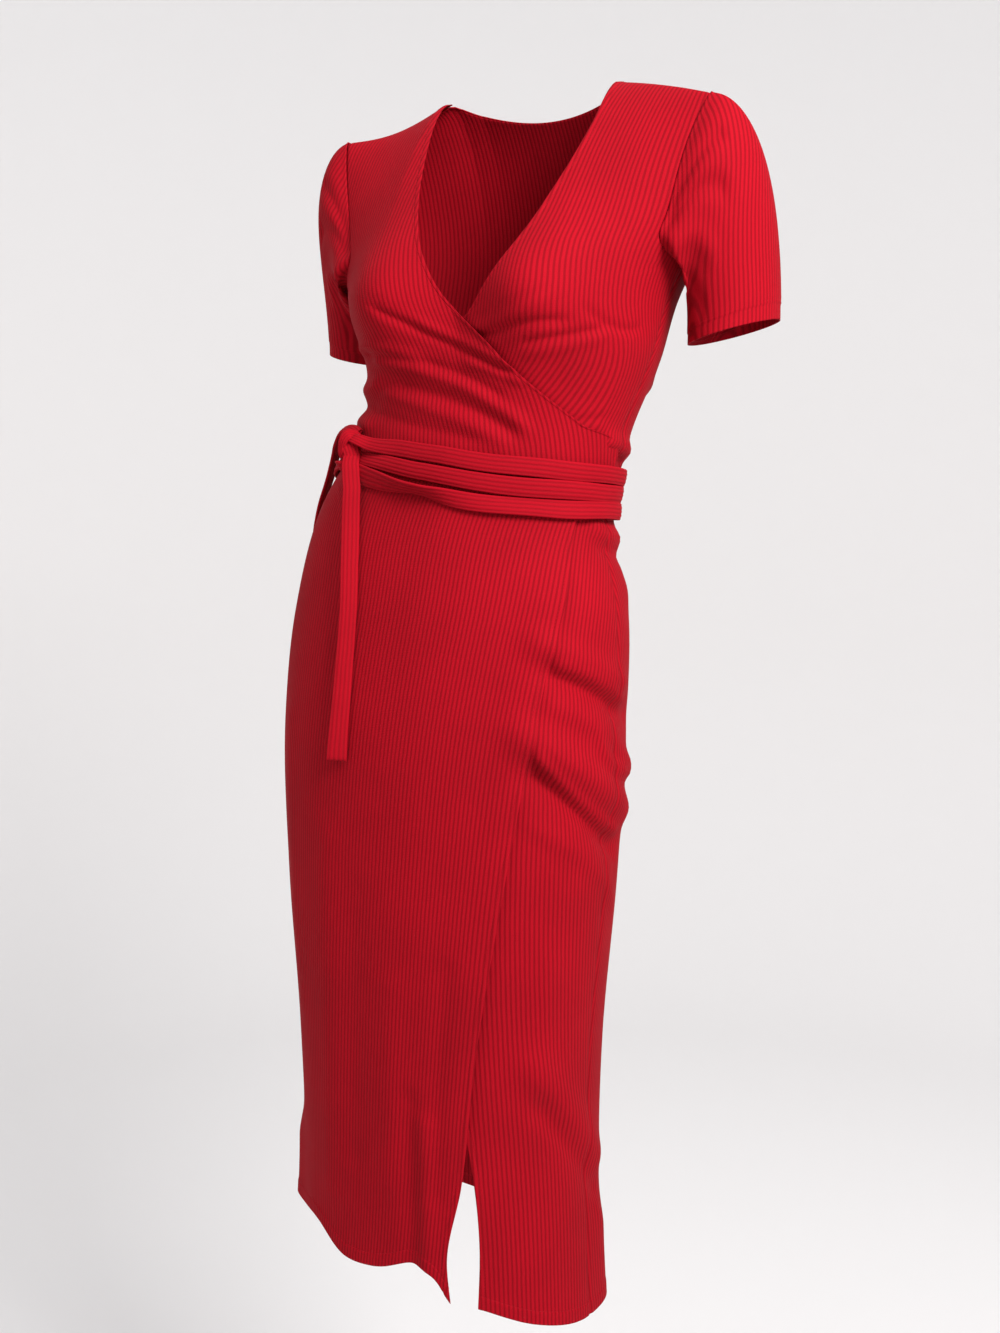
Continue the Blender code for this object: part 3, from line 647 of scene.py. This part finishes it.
def bodice_back(name, columns=150, rows=110):
    """The back: side seam to side seam, waist seam to shoulder seams and back neck."""
    across = np.broadcast_to(np.linspace(0, 1, columns + 1), (rows + 1, columns + 1))
    share = 1 - close_to_edge(BODICE_LONG, FINE_ROWS, FINE_STEP, rows)[::-1][:, None]
    left_angle, left_height = side_edge(share, 1, behind=True)
    right_angle, right_height = side_edge(share, -1, behind=True)
    angle = left_angle + (right_angle - left_angle) * across
    height = left_height + (right_height - left_height) * across
    foot = waist(angle)
    height = height + (foot - height) * np.clip(1 - share * FOOT_SHARE, 0, 1)
    row = across[-1]
    left = shoulder_row(np.clip(row / SHOULDER_SHARE, 0, 1), 1, behind=True)
    right = shoulder_row(np.clip((1 - row) / SHOULDER_SHARE, 0, 1), -1, behind=True)
    neck_share = np.clip((row - SHOULDER_SHARE) / (1 - 2 * SHOULDER_SHARE), 0, 1)
    neck_height = -BACK_NECK_DROP * np.sin(pi * neck_share) ** 0.8
    neck = angle_at(NECK_HALF * (1 - 2 * neck_share), neck_height, behind=True), neck_height
    places = [row <= SHOULDER_SHARE, row >= 1 - SHOULDER_SHARE]
    angle = angle + (np.select(places, [left[0], right[0]], neck[0]) - angle[-1]) * share**4
    height = height + (np.select(places, [left[1], right[1]], neck[1]) - height[-1]) * share**4
    width = run_along(form(angle, height), 1)[:, -1:]
    off_top = (1 - share) * BODICE_LONG + 0 * across
    at_neck = ease(neck_share / 0.04) * ease((1 - neck_share) / 0.04)
    lift = back_lift(angle) + seam_edge(across * width) + seam_edge((1 - across) * width)
    lift = lift + turned_edge(off_top) * at_neck + seam_edge(off_top) * (1 - at_neck)
    points = cloth(angle, height, lift, BACK_CREASES)
    on_neck = (neck_share > 0.02) & (neck_share < 0.98)
    on_stitch = -1 - EDGE_STITCH
    stitched.append((points[on_stitch, on_neck], outward(angle, height)[on_stitch, on_neck]))
    ribs = np.stack([wale(angle, height, pi), height], axis=-1)
    return knit_object(name, points, ribs)


piece = bodice_back("back_bodice_knit")
piece.data.materials.append(jersey)
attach(piece, "root")
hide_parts("back_bodice")


# ==== Sleeves ====================================================================================
# Short set-in sleeves, each one piece sewn round the armhole and closed by an underarm seam, with a
# turned and stitched hem. The cap is eased in, so soft ridges run out from the underarm.
# Middle of each cuff in the frame, then its half width.
LEFT_CUFF = (0.1900, 0.040, -0.219, 0.0375)
RIGHT_CUFF = (-0.1940, 0.046, -0.222, 0.0335)
CUFF_HALF_Y, CUFF_SLANT, CUFF_FRONT = 0.046, 0.009, 0.005
CAP_REACH, CUFF_REACH = 0.74, 1.25
RIB_AXIS_IN, RIB_RADIUS = 0.062, 0.088    # upright axis that the cap's ribs stand round, inside the cuff's
SLEEVE_CREASES = (
    # turn and share of the way down at the start and at the end, out, spread
    (-150.0, 0.05, -75.0, 0.40, 0.0032, 0.060),
    (-140.0, 0.02, -60.0, 0.20, 0.0026, 0.050),
    (-160.0, 0.20, -95.0, 0.70, -0.0024, 0.070),
    (150.0, 0.06, 78.0, 0.42, 0.0036, 0.060),
    (140.0, 0.02, 64.0, 0.22, 0.0026, 0.050),
    (160.0, 0.20, 96.0, 0.62, -0.0026, 0.065),
    (165.0, 0.42, 110.0, 0.82, 0.0016, 0.060),
)


def sleeve(name, side, ring, lift, around=140, rows=90):
    """A smooth tube from the armhole's own points to the cuff ring: a cubic with a direction at each end."""
    turn = np.linspace(0, 2 * pi, around + 1)
    height = armhole_height(np.abs(turn - pi) / pi)
    front_angle = angle_at(armhole_x(height, side, False), height)
    back_angle = angle_at(armhole_x(height, side, True), height, behind=True)
    angle = np.where(turn > pi, back_angle, front_angle)
    armhole = cloth(angle, height, lift(angle))
    cuff = np.array(ring[:3]) + np.stack([
        side * ring[3] * np.cos(turn),
        -CUFF_HALF_Y * np.sin(turn),
        CUFF_SLANT * np.cos(turn) - CUFF_FRONT * np.sin(turn),
    ], axis=-1)
    down = 0.5 - 0.5 * np.cos(turn)
    leave = np.stack([side * (1.0 - 0.25 * down), -0.30 * np.sin(turn), -0.12 - 0.46 * down], axis=-1)
    leave = unit(leave + 0.55 * down[:, None] * outward(angle, height))
    span = np.linalg.norm(cuff - armhole, axis=-1)[:, None]
    arrive = np.array([0.0, 0.0, -1.0])
    t = (1 - close_to_edge(SLEEVE_LONG, 24, HEM_STEP, rows)[::-1])[:, None, None]
    points = (
        armhole * (1 + 2 * t) * (1 - t) ** 2
        + CAP_REACH * (1 + 0.5 * down[:, None]) * span * leave * t * (1 - t) ** 2
        + cuff * t * t * (3 - 2 * t)
        + CUFF_REACH * (1 - 0.4 * down[:, None]) * span * arrive * t * t * (t - 1)
    )
    along = np.gradient(points, axis=0)
    aside = np.gradient(points, axis=1)
    aside[:, 0] = aside[:, -1] = points[:, 1] - points[:, -2]
    out = unit(np.cross(aside, along) * (-side))
    t, off_hem = t[..., 0], (1 - t[..., 0]) * span[:, 0]
    extra = turned_edge(off_hem, HEM_WIDE, HEM_DEPTH) + seam_edge(t * span[:, 0])
    degrees = np.degrees(np.where(turn > pi, turn - 2 * pi, turn))
    for turn_a, share_a, turn_b, share_b, proud, spread in SLEEVE_CREASES:
        line = np.array([(turn_b - turn_a) / 90, share_b - share_a])
        length = np.hypot(*line)
        run = ((degrees - turn_a) / 90 * line[0] + (t - share_a) * line[1]) / length
        off = ((t - share_a) * line[0] - (degrees - turn_a) / 90 * line[1]) / length
        past = np.clip(-run, 0, None) + np.clip(run - length, 0, None)
        extra = extra + proud * np.exp(-((off / spread) ** 2) - (past / 0.10) ** 2)
    points = points + out * extra[..., None]
    points[:, -1] = points[:, 0]
    stitched.append((points[-1 - HEM_STITCH], out[-1 - HEM_STITCH]))
    # The rib map starts at the underarm seam and is measured from the line down from the shoulder.
    half = around // 2
    order = np.concatenate([np.arange(half, around + 1), np.arange(1, half + 1)])
    points, down_sleeve = points[:, order], (t * span[:, 0])[:, order]
    across = run_along(points, 1)
    across = across - across[:, [half]]
    # On the cap the ribs run straight down, like lines round an upright axis inside the armhole.
    axis_x = ring[0] - side * RIB_AXIS_IN
    upright = RIB_RADIUS * np.arctan2(ring[1] - points[..., 1], side * (points[..., 0] - axis_x))
    lower = ease((down_sleeve / span.max() - 0.35) / 0.6)
    ribs = np.stack([upright * (1 - lower) + across * lower, -down_sleeve], axis=-1)
    if side > 0:
        points, ribs = points[:, ::-1], ribs[:, ::-1]
    return knit_object(name, points[::-1], ribs[::-1], ring=True)


for name, side, ring, lift in (
    ("left_sleeve", 1, LEFT_CUFF, lambda angle: 0 * angle),
    ("right_sleeve", -1, RIGHT_CUFF, lambda angle: OVER_LIFT + 0 * angle),
):
    piece = sleeve(name + "_knit", side, ring, lift)
    piece.data.materials.append(jersey)
    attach(piece, "root")
    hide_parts(name)


# ==== Skirt ======================================================================================
# Two overlapping fronts and a back, sewn together at the waist and sides. The hem is turned up and
# stitched, the fronts' free edges are narrow turned edges, and the side is caught up in soft folds.
HEM = np.array([
    # angle  height
    (-90.0, -1.028),
    (-56.0, -1.024),
    (-32.0, -1.023),
    (-15.0, -1.041),
    (-3.0, -1.040),
    (13.0, -1.028),
    (19.0, -1.034),
    (26.0, -1.058),
    (35.0, -1.064),
    (58.0, -1.083),
    (96.0, -1.100),
    (130.0, -1.088),
    (180.0, -1.074),
    (200.0, -1.065),
    (230.0, -1.045),
    (270.0, -1.028),
])
RIGHT_SKIRT_EDGE = np.array([
    # height  angle
    (-1.060, 25.5),
    (-1.020, 24.0),
    (-0.950, 29.3),
    (-0.820, 34.8),
    (-0.690, 41.0),
    (-0.560, 48.5),
    (-0.480, 54.0),
    (-0.400, 65.0),
    (-0.330, 73.0),
])
LEFT_SKIRT_EDGE = np.array([
    # height  angle
    (-1.070, 34.8),
    (-1.010, 35.6),
    (-0.940, 33.0),
    (-0.860, 26.0),
    (-0.740, 17.0),
    (-0.600, 6.0),
    (-0.450, -8.0),
    (-0.330, -20.0),
])
EDGE_STANDS_OFF, EDGE_FLARE = 0.0046, 0.030    # how far, and over what width
SKIRT_CREASES = (
    # three points of a line (angle, height), then how far out and how wide
    (52.0, -0.496, 72.0, -0.5110, 94.0, -0.5340, 0.0034, 0.0046),
    (54.0, -0.508, 73.0, -0.5230, 92.0, -0.5450, -0.0022, 0.0056),
    (48.5, -0.570, 66.0, -0.6060, 94.0, -0.6480, 0.0044, 0.0048),
    (49.0, -0.586, 67.0, -0.6200, 92.0, -0.6620, -0.0028, 0.0060),
    (84.0, -0.578, 92.0, -0.5920, 104.0, -0.6020, 0.0036, 0.0060),
    (84.0, -0.388, 104.0, -0.3940, 126.0, -0.3980, 0.0046, 0.0080),
    (86.0, -0.404, 104.0, -0.4100, 122.0, -0.4140, -0.0022, 0.0070),
    (60.0, -0.536, 82.0, -0.5580, 104.0, -0.5900, 0.0020, 0.0080),
    (56.0, -0.640, 74.0, -0.6640, 94.0, -0.7020, 0.0022, 0.0090),
    (66.0, -0.920, 82.0, -0.9560, 98.0, -1.0020, 0.0012, 0.0080),
    (110.0, -0.440, 140.0, -0.4520, 176.0, -0.4480, 0.0018, 0.0120),
    (188.0, -0.436, 216.0, -0.4400, 246.0, -0.4300, 0.0020, 0.0110),
)


def hem(angle):
    """Height of the hem."""
    return read(HEM, 1, np.degrees(angle))


# Soft upright drapes in the lower skirt, deepest at the hem.
SKIRT_DRAPES = np.array([
    # angle_a  height_a  angle_b  height_b   out     spread
    (16.0, -0.900, 17.0, -1.040, 0.0030, 0.008),
    (10.0, -0.880, 11.0, -1.030, -0.0026, 0.009),
    (23.0, -0.760, 19.5, -0.960, -0.0016, 0.008),
    (4.0, -0.780, 3.0, -0.960, 0.0016, 0.010),
    (-8.0, -0.700, -11.0, -0.940, -0.0014, 0.012),
    (-20.0, -0.660, -24.0, -0.980, 0.0016, 0.014),
    (-46.0, -0.560, -44.0, -0.820, 0.0012, 0.012),
    (62.0, -0.760, 58.0, -0.900, 0.0012, 0.012),
    (140.0, -0.700, 144.0, -1.020, 0.0026, 0.016),
    (170.0, -0.820, 168.0, -1.040, -0.0020, 0.014),
    (-154.0, -0.640, -158.0, -0.980, 0.0024, 0.016),
    (-124.0, -0.760, -122.0, -1.000, -0.0018, 0.014),
])


def skirt_panel(name, start, end, edges, lift, middle, shift_at, shifts, columns, rows=190):
    """A skirt panel between two lines, each a function of height, from the waist seam to the hem.

    Edges says which line is a free turned edge (1) and which a seam (0).
    """
    share = close_to_edge(SKIRT_LONG, 18, HEM_STEP, rows)[:, None]

    def place(across):
        angle = start(-0.35) + (end(-0.35) - start(-0.35)) * across + 0 * share
        for _ in range(5):
            top = waist(angle)
            height = hem(angle) + (top - hem(angle)) * share
            angle = start(height) + (end(height) - start(height)) * across
        return angle, height

    even = np.broadcast_to(np.linspace(0, 1, 60), (rows + 1, 60))
    width = run_along(form(*place(even)), 1)[:, -1]
    across = close_to_edge(width, FINE_ROWS, FINE_STEP, columns)
    if edges[1]:
        across = 1 - across[:, ::-1]
    angle, height = place(across)
    off_start, off_end = across * width[:, None], (1 - across) * width[:, None]
    total = lift(angle)
    total = total + (turned_edge(off_start) if edges[0] else seam_edge(off_start))
    total = total + (turned_edge(off_end) if edges[1] else seam_edge(off_end))
    total = total + turned_edge(share * SKIRT_LONG, HEM_WIDE, HEM_DEPTH)
    if edges[1]:
        # The over front stands a little off the under one along its free edge, below the ties.
        below_ties = ease((-0.400 - height) / 0.05)
        total = total + EDGE_STANDS_OFF * np.exp(-((off_end / EDGE_FLARE) ** 2)) * below_ties
    # The folds at the side start from under the over front's edge, which lies smooth across them.
    past_edge = np.degrees(angle) - read(RIGHT_SKIRT_EDGE, 1, height)
    total = total + bent_creases(angle, height, SKIRT_CREASES) * ease((past_edge - 0.5) / 5.0)
    points = cloth(angle, height, total + straight_folds(angle, height, SKIRT_DRAPES))
    normals = outward(angle, height)
    stitched.append((points[HEM_STITCH], normals[HEM_STITCH]))
    if any(edges):
        on_stitch = EDGE_STITCH if edges[0] else -1 - EDGE_STITCH
        stitched.append((points[:, on_stitch], normals[:, on_stitch]))
    return knit_object(name, points, rib_map(angle, height, middle, shift_at, shifts))


def line_of(table):
    """Free edge as a function of height, from a table of heights and angles."""
    return lambda height: np.radians(read(table, 1, height))


def seam_at(degrees):
    """Side seam as a function of height."""
    return lambda height: radians(degrees) + 0 * height


OVER_SHIFT_AT = (-60.0, -10.0, 30.0, 60.0)
OVER_SHIFTS = np.array([
    # height  at -60  at -10  at 30   at 60
    (-0.340, 0.000, 0.000, 0.000, 0.000),
    (-0.720, -0.011, -0.023, -0.038, -0.042),
    (-1.100, -0.022, -0.046, -0.076, -0.084),
])
UNDER_SHIFT_AT = (20.0, 90.0)
UNDER_SHIFTS = np.array([
    # height  at 20   at 90
    (-0.350, 0.000, 0.000),
    (-0.500, -0.008, -0.004),
    (-0.650, -0.018, -0.010),
    (-0.800, -0.018, -0.011),
    (-0.950, -0.010, -0.006),
    (-1.100, 0.002, 0.000),
])
NO_SHIFT_AT, NO_SHIFTS = (90.0, 270.0), np.array([(-0.3, 0.0, 0.0), (-1.1, 0.0, 0.0)])
for name, start, end, edges, lift, middle, shift_at, shifts, columns, flat, area in (
    ("right_front_skirt", seam_at(-90.0), line_of(RIGHT_SKIRT_EDGE), (0, 1),
     lambda angle: OVER_LIFT + 0 * angle, 0.0, OVER_SHIFT_AT, OVER_SHIFTS, 130, (0.42, 0.74), 0.235),
    ("left_front_skirt", line_of(LEFT_SKIRT_EDGE), seam_at(90.0), (1, 0),
     lambda angle: 0 * angle, 0.0, UNDER_SHIFT_AT, UNDER_SHIFTS, 110, (0.29, 0.78), 0.135),
    ("back_skirt", seam_at(90.0), seam_at(270.0), (0, 0), back_lift, pi, NO_SHIFT_AT, NO_SHIFTS, 140,
     (0.45, 0.78), 0.318),
):
    piece = skirt_panel(name + "_knit", start, end, edges, lift, middle, shift_at, shifts, columns)
    piece.data.materials.append(jersey)
    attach(piece, "root")
    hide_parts(name)


# ==== Ties =======================================================================================
# Two long straps, each a strip of the jersey sewn into a tube, turned and pressed flat, with about
# four ribs showing on a face. They go round the waist three times and are knotted at the right.
TIE_LIFT, TIE_THICK, TIE_WALL = 0.0026, 0.0042, 0.0007
TIE_RIBS, TIE_PITCH = 4.3, 0.0035
PINCH = 0.0016    # length over which a sewn end closes
TIE_TURNS = np.array([
    # angle   upper   middle    lower    width  width_low
    (-38.1, -0.3131, -0.3240, -0.3350, 0.0105, 0.0140),
    (-34.3, -0.3141, -0.3258, -0.3372, 0.0112, 0.0152),
    (-31.3, -0.3153, -0.3275, -0.3395, 0.0118, 0.0165),
    (-24.0, -0.3170, -0.3300, -0.3430, 0.0128, 0.0172),
    (-16.0, -0.3182, -0.3325, -0.3465, 0.0140, 0.0168),
    (0.0, -0.3235, -0.3385, -0.3540, 0.0148, 0.0150),
    (22.0, -0.3305, -0.3472, -0.3640, 0.0156, 0.0150),
    (54.0, -0.3362, -0.3530, -0.3695, 0.0160, 0.0160),
    (88.0, -0.3395, -0.3550, -0.3700, 0.0150, 0.0150),
    (140.0, -0.3420, -0.3575, -0.3725, 0.0148, 0.0148),
    (200.0, -0.3340, -0.3490, -0.3640, 0.0148, 0.0148),
    (265.0, -0.3170, -0.3310, -0.3450, 0.0136, 0.0136),
    (311.5, -0.3055, -0.3170, -0.3285, 0.0108, 0.0108),
])
# How far each turn is rolled about its own length, in degrees, and how far it stands off.
TIE_ROLLS = np.array([
    # angle   upper  middle  lower  upper_off  lower_off
    (-38.1, -35.0, -20.0, 4.0, 0.0122, 0.0000),
    (-34.3, -28.0, -16.0, 6.0, 0.0098, 0.0000),
    (-31.3, -18.0, -10.0, 10.0, 0.0056, 0.0000),
    (-24.0, -6.0, -4.0, 16.0, 0.0022, 0.0006),
    (-16.0, 2.0, 4.0, 26.0, 0.0006, 0.0020),
    (-4.0, 3.0, 8.0, 56.0, 0.0000, 0.0036),
    (4.0, 2.0, 8.0, 64.0, 0.0000, 0.0036),
    (14.0, -2.0, 7.0, 26.0, 0.0000, 0.0014),
    (30.0, -6.0, 6.0, -6.0, 0.0000, 0.0000),
    (70.0, 4.0, 4.0, -8.0, 0.0006, 0.0000),
    (120.0, -4.0, 3.0, 6.0, 0.0000, 0.0004),
    (190.0, 6.0, -5.0, 4.0, 0.0004, 0.0000),
    (260.0, -5.0, 6.0, -4.0, 0.0000, 0.0005),
    (311.5, 6.0, -6.0, 5.0, 0.0000, 0.0000),
])
# The ties' grooves are coloured with a lighter painted shade than the dress's, so their ribs show less
# contrast.
tie_jersey = rib_jersey("rib_jersey_tie", pitch=TIE_PITCH, groove_shade="#840714")


def strap(middle, out, width, roll=0.0, thick=TIE_THICK, ends=(0, 0), around=44):
    """Points and rib map of a flat tube along a path, pinched flat at a closed end.

    Each section is a soft rectangle with its ribs raised, rolled about the path.
    """
    width, roll = np.broadcast_to(width, len(middle)), np.radians(np.broadcast_to(roll, len(middle)))
    run = unit(np.gradient(middle, axis=0))
    out = unit(out - run * (out * run).sum(-1, keepdims=True))
    across = np.cross(out, run)
    out, across = (out * np.cos(roll)[:, None] - across * np.sin(roll)[:, None],
                   across * np.cos(roll)[:, None] + out * np.sin(roll)[:, None])
    turn = np.linspace(0, 2 * pi, around + 1)
    wide = np.sign(np.cos(turn)) * np.abs(np.cos(turn)) ** 0.9
    deep = np.sign(np.sin(turn)) * np.abs(np.sin(turn)) ** 0.72
    deep = deep * (0.90 + 0.10 * np.cos(2 * pi * TIE_RIBS * wide / 2))
    length = run_along(middle, 0)
    closing = np.ones(len(middle))
    if ends[0]:
        closing = closing * np.sqrt(np.clip(length / PINCH, 0.02, 1))
    if ends[1]:
        closing = closing * np.sqrt(np.clip((length[-1] - length) / PINCH, 0.02, 1))
    points = (
        middle[:, None]
        + across[:, None] * (0.5 * width[:, None] * wide)[..., None]
        + out[:, None] * (0.5 * thick * closing[:, None] * deep)[..., None]
    )
    ribs = np.stack(np.broadcast_arrays(0.5 * TIE_RIBS * TIE_PITCH * wide, length[:, None]), axis=-1)
    return points, ribs


def tie_lift(angle):
    """Inner face of the ties: over the right front as far as the left side seam, then over the back."""
    return TIE_LIFT + OVER_LIFT * (1 - ease((np.degrees(angle) - 92.0) / 24.0)) + back_lift(angle)


for column, name in enumerate(("tie_turn_upper", "tie_turn_middle", "tie_turn_lower"), start=1):
    degrees = TIE_TURNS[0, 0] + (TIE_TURNS[-1, 0] - TIE_TURNS[0, 0]) * close_to_edge(350, 6, 0.12, 260)
    angle = np.radians(degrees)
    height = read(TIE_TURNS, column, degrees)
    height = height + 0.0005 * np.sin(0.11 * degrees + 2.1 * column) * np.sin(0.043 * degrees + column)
    off = tie_lift(angle) + 0.5 * TIE_THICK
    if column != 2:
        off = off + read(TIE_ROLLS, 4 if column == 1 else 5, degrees)
    out = outward(angle, height)
    points, ribs = strap(
        form(angle, height) + out * off[:, None], out,
        read(TIE_TURNS, 5 if column == 3 else 4, degrees),
        read(TIE_ROLLS, column, degrees), ends=(1, 0),
    )
    piece = knit_object(name + "_knit", points, ribs, wall=TIE_WALL, ring=True, inwards=True)
    piece.data.materials.append(tie_jersey)
    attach(piece, "root")
    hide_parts(name)

# The free ends, from the knot down.
FRONT_TAIL = np.array([
    # height  angle   lift    width   roll
    (-0.3180, -39.0, 0.0120, 0.0120, -35.0),
    (-0.3243, -36.3, 0.0150, 0.0145, -45.0),
    (-0.3352, -32.3, 0.0160, 0.0152, -48.0),
    (-0.3440, -28.4, 0.0160, 0.0154, -46.0),
    (-0.3614, -22.4, 0.0155, 0.0154, -44.0),
    (-0.3949, -17.8, 0.0130, 0.0156, -40.0),
    (-0.4400, -14.6, 0.0120, 0.0152, -36.0),
    (-0.4800, -12.9, 0.0118, 0.0150, -37.0),
    (-0.5254, -12.1, 0.0118, 0.0158, -34.0),
    (-0.5560, -12.1, 0.0120, 0.0166, -34.0),
    (-0.5850, -12.2, 0.0122, 0.0176, -36.0),
])
SIDE_TAIL = np.array([
    # height  angle   lift    width   roll
    (-0.3050, -44.0, 0.0110, 0.0100, 30.0),
    (-0.3020, -50.0, 0.0150, 0.0115, 40.0),
    (-0.3045, -57.0, 0.0185, 0.0130, 30.0),
    (-0.3130, -63.0, 0.0190, 0.0138, 15.0),
    (-0.3231, -72.0, 0.0185, 0.0145, 5.0),
    (-0.3357, -78.1, 0.0175, 0.0150, 0.0),
    (-0.3505, -82.6, 0.0165, 0.0152, -4.0),
    (-0.3710, -84.6, 0.0145, 0.0152, -4.0),
    (-0.4400, -91.0, 0.0098, 0.0152, 4.0),
    (-0.5200, -94.0, 0.0082, 0.0156, 0.0),
    (-0.5600, -95.0, 0.0082, 0.0172, 0.0),
])
for name, table, length in (("tie_end_front", FRONT_TAIL, 0.29), ("tie_end_side", SIDE_TAIL, 0.32)):
    knots = np.linspace(0, 1, len(table))
    t = np.sort(np.append(np.linspace(0, 1, 150), (0.9985, 0.9993, 0.9998)))
    height, angle, lift, width, roll = (between(t, knots, table[:, k]) for k in range(5))
    angle = np.radians(angle)
    out = outward(angle, height)
    points, ribs = strap(form(angle, height) + out * lift[:, None], out, width, roll, ends=(0, 1))
    piece = knit_object(name + "_knit", points, ribs, wall=TIE_WALL, ring=True, inwards=True)
    piece.data.materials.append(tie_jersey)
    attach(piece, "root")
    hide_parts(name)


# ==== Knot =======================================================================================
# The two straps cross in a single flat knot: one goes over the top and down the front, the other
# comes round across it into the upper turn.
KNOT_ANGLE, KNOT_HEIGHT, KNOT_LIFT = -39.5, -0.316, 0.0166
KNOT_STRAPS = {
    # across the view of the knot, towards it and up from the knot's middle, then width
    "loop": np.array([
        (0.0040, -0.0030, -0.0100, 0.0090),
        (-0.0040, 0.0010, -0.0085, 0.0095),
        (-0.0076, 0.0030, -0.0045, 0.0088),
        (-0.0082, 0.0035, 0.0012, 0.0080),
        (-0.0064, 0.0050, 0.0076, 0.0098),
        (-0.0022, 0.0045, 0.0122, 0.0110),
        (0.0036, 0.0000, 0.0110, 0.0108),
        (0.0085, -0.0060, 0.0060, 0.0100),
    ]),
    "wrap": np.array([
        (0.0010, -0.0260, -0.0120, 0.0140),
        (-0.0070, -0.0180, -0.0150, 0.0150),
        (-0.0100, -0.0090, -0.0165, 0.0160),
        (-0.0085, -0.0010, -0.0175, 0.0165),
        (-0.0040, 0.0030, -0.0180, 0.0165),
        (0.0030, 0.0040, -0.0185, 0.0160),
    ]),
    "core": np.array([
        (-0.0030, -0.0060, 0.0080, 0.0130),
        (-0.0030, 0.0000, 0.0070, 0.0140),
        (-0.0010, 0.0050, 0.0020, 0.0140),
        (0.0010, 0.0060, -0.0050, 0.0140),
        (0.0020, 0.0060, -0.0120, 0.0140),
    ]),
}
angle, height = np.array(radians(KNOT_ANGLE)), np.array(KNOT_HEIGHT)
knot_out = unit(outward(angle, height) * np.array([1, 1, 0]))
knot_axes = np.array([[cos(VIEW_TURN), sin(VIEW_TURN), 0], [sin(VIEW_TURN), -cos(VIEW_TURN), 0], [0, 0, 1]])
knot_middle = form(angle, height) + knot_out * KNOT_LIFT
loops = []
for table in KNOT_STRAPS.values():
    t = np.linspace(0, 1, 60)
    local = np.stack([between(t, np.linspace(0, 1, len(table)), table[:, k]) for k in range(4)], axis=-1)
    middle = knot_middle + local[:, :3] @ knot_axes
    away = (local[:, :3] * (0.5, 0.0, 0.3) + (0.0, 0.006, 0.0)) @ knot_axes
    loops.append(strap(middle, away, local[:, 3]))
knot = knit_object("tie_knot_knit", *loops[0], wall=TIE_WALL, ring=True, inwards=True)
others = [knit_object("loop", *loop, ring=True) for loop in loops[1:]]
with bpy.context.temp_override(active_object=knot, selected_editable_objects=[knot] + others):
    bpy.ops.object.join()
knot.data.materials.append(tie_jersey)
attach(knot, "root")
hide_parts("tie_knot")


# ==== Stitching ==================================================================================
# Polyester thread in the cloth's colour: a row of lockstitch along each turned edge and hem.
STITCH_LONG, STITCH_STEP, THREAD = 0.0023, 0.0031, 0.00022


def stitch_row(points, normals):
    """Small capsules end to end along a line, each half sunk in the cloth."""
    far = run_along(points, 0)
    at = np.arange(STITCH_STEP, far[-1] - STITCH_STEP, STITCH_STEP)
    spots = []
    for shift in (-0.5 * STITCH_LONG, 0.5 * STITCH_LONG):
        spots.append(np.stack([np.interp(at + shift, far, points[:, k]) for k in range(3)], axis=-1))
    up = np.stack([np.interp(at, far, normals[:, k]) for k in range(3)], axis=-1)
    run = unit(spots[1] - spots[0])
    middle = 0.5 * (spots[0] + spots[1]) + up * (WALL + 0.00004)
    aside = np.cross(run, up)
    turn = np.arange(6) * pi / 3
    ring = THREAD * (np.cos(turn)[:, None, None] * up + np.sin(turn)[:, None, None] * aside)
    end = 0.5 * STITCH_LONG
    corners = np.concatenate([
        (middle - run * end)[None], middle + ring - run * end * 0.75,
        middle + ring + run * end * 0.75, (middle + run * end)[None],
    ]).transpose(1, 0, 2)
    k = np.arange(6)    # a capsule: a point, two rings of six, a point
    n = (k + 1) % 6
    first = np.stack([0 * k, 1 + k, 1 + n], axis=-1)
    wall = np.concatenate([np.stack([1 + k, 7 + k, 7 + n], -1), np.stack([1 + k, 7 + n, 1 + n], -1)])
    last = np.stack([13 + 0 * k, 7 + n, 7 + k], axis=-1)
    faces = np.concatenate([first, wall, last])
    return corners.reshape(-1, 3), (faces + 14 * np.arange(len(at))[:, None, None]).reshape(-1, 3)


corners, faces, count = [], [], 0
for points, normals in stitched:
    more_corners, more_faces = stitch_row(points, normals)
    corners.append(more_corners)
    faces.append(more_faces + count)
    count += len(more_corners)
mesh = bpy.data.meshes.new("edge_stitching")
mesh.from_pydata(np.concatenate(corners).tolist(), [], np.concatenate(faces).tolist())
mesh.shade_smooth()
stitching = bpy.data.objects.new("edge_stitching", mesh)
scene.collection.objects.link(stitching)
# Spun polyester thread, dyed to the cloth: a little smoother than the knit.
thread = plain_material("polyester_thread", "#8E0616", Roughness=0.6, Specular_IOR_Level=0.12)
stitching.data.materials.append(thread)
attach(stitching, "root")
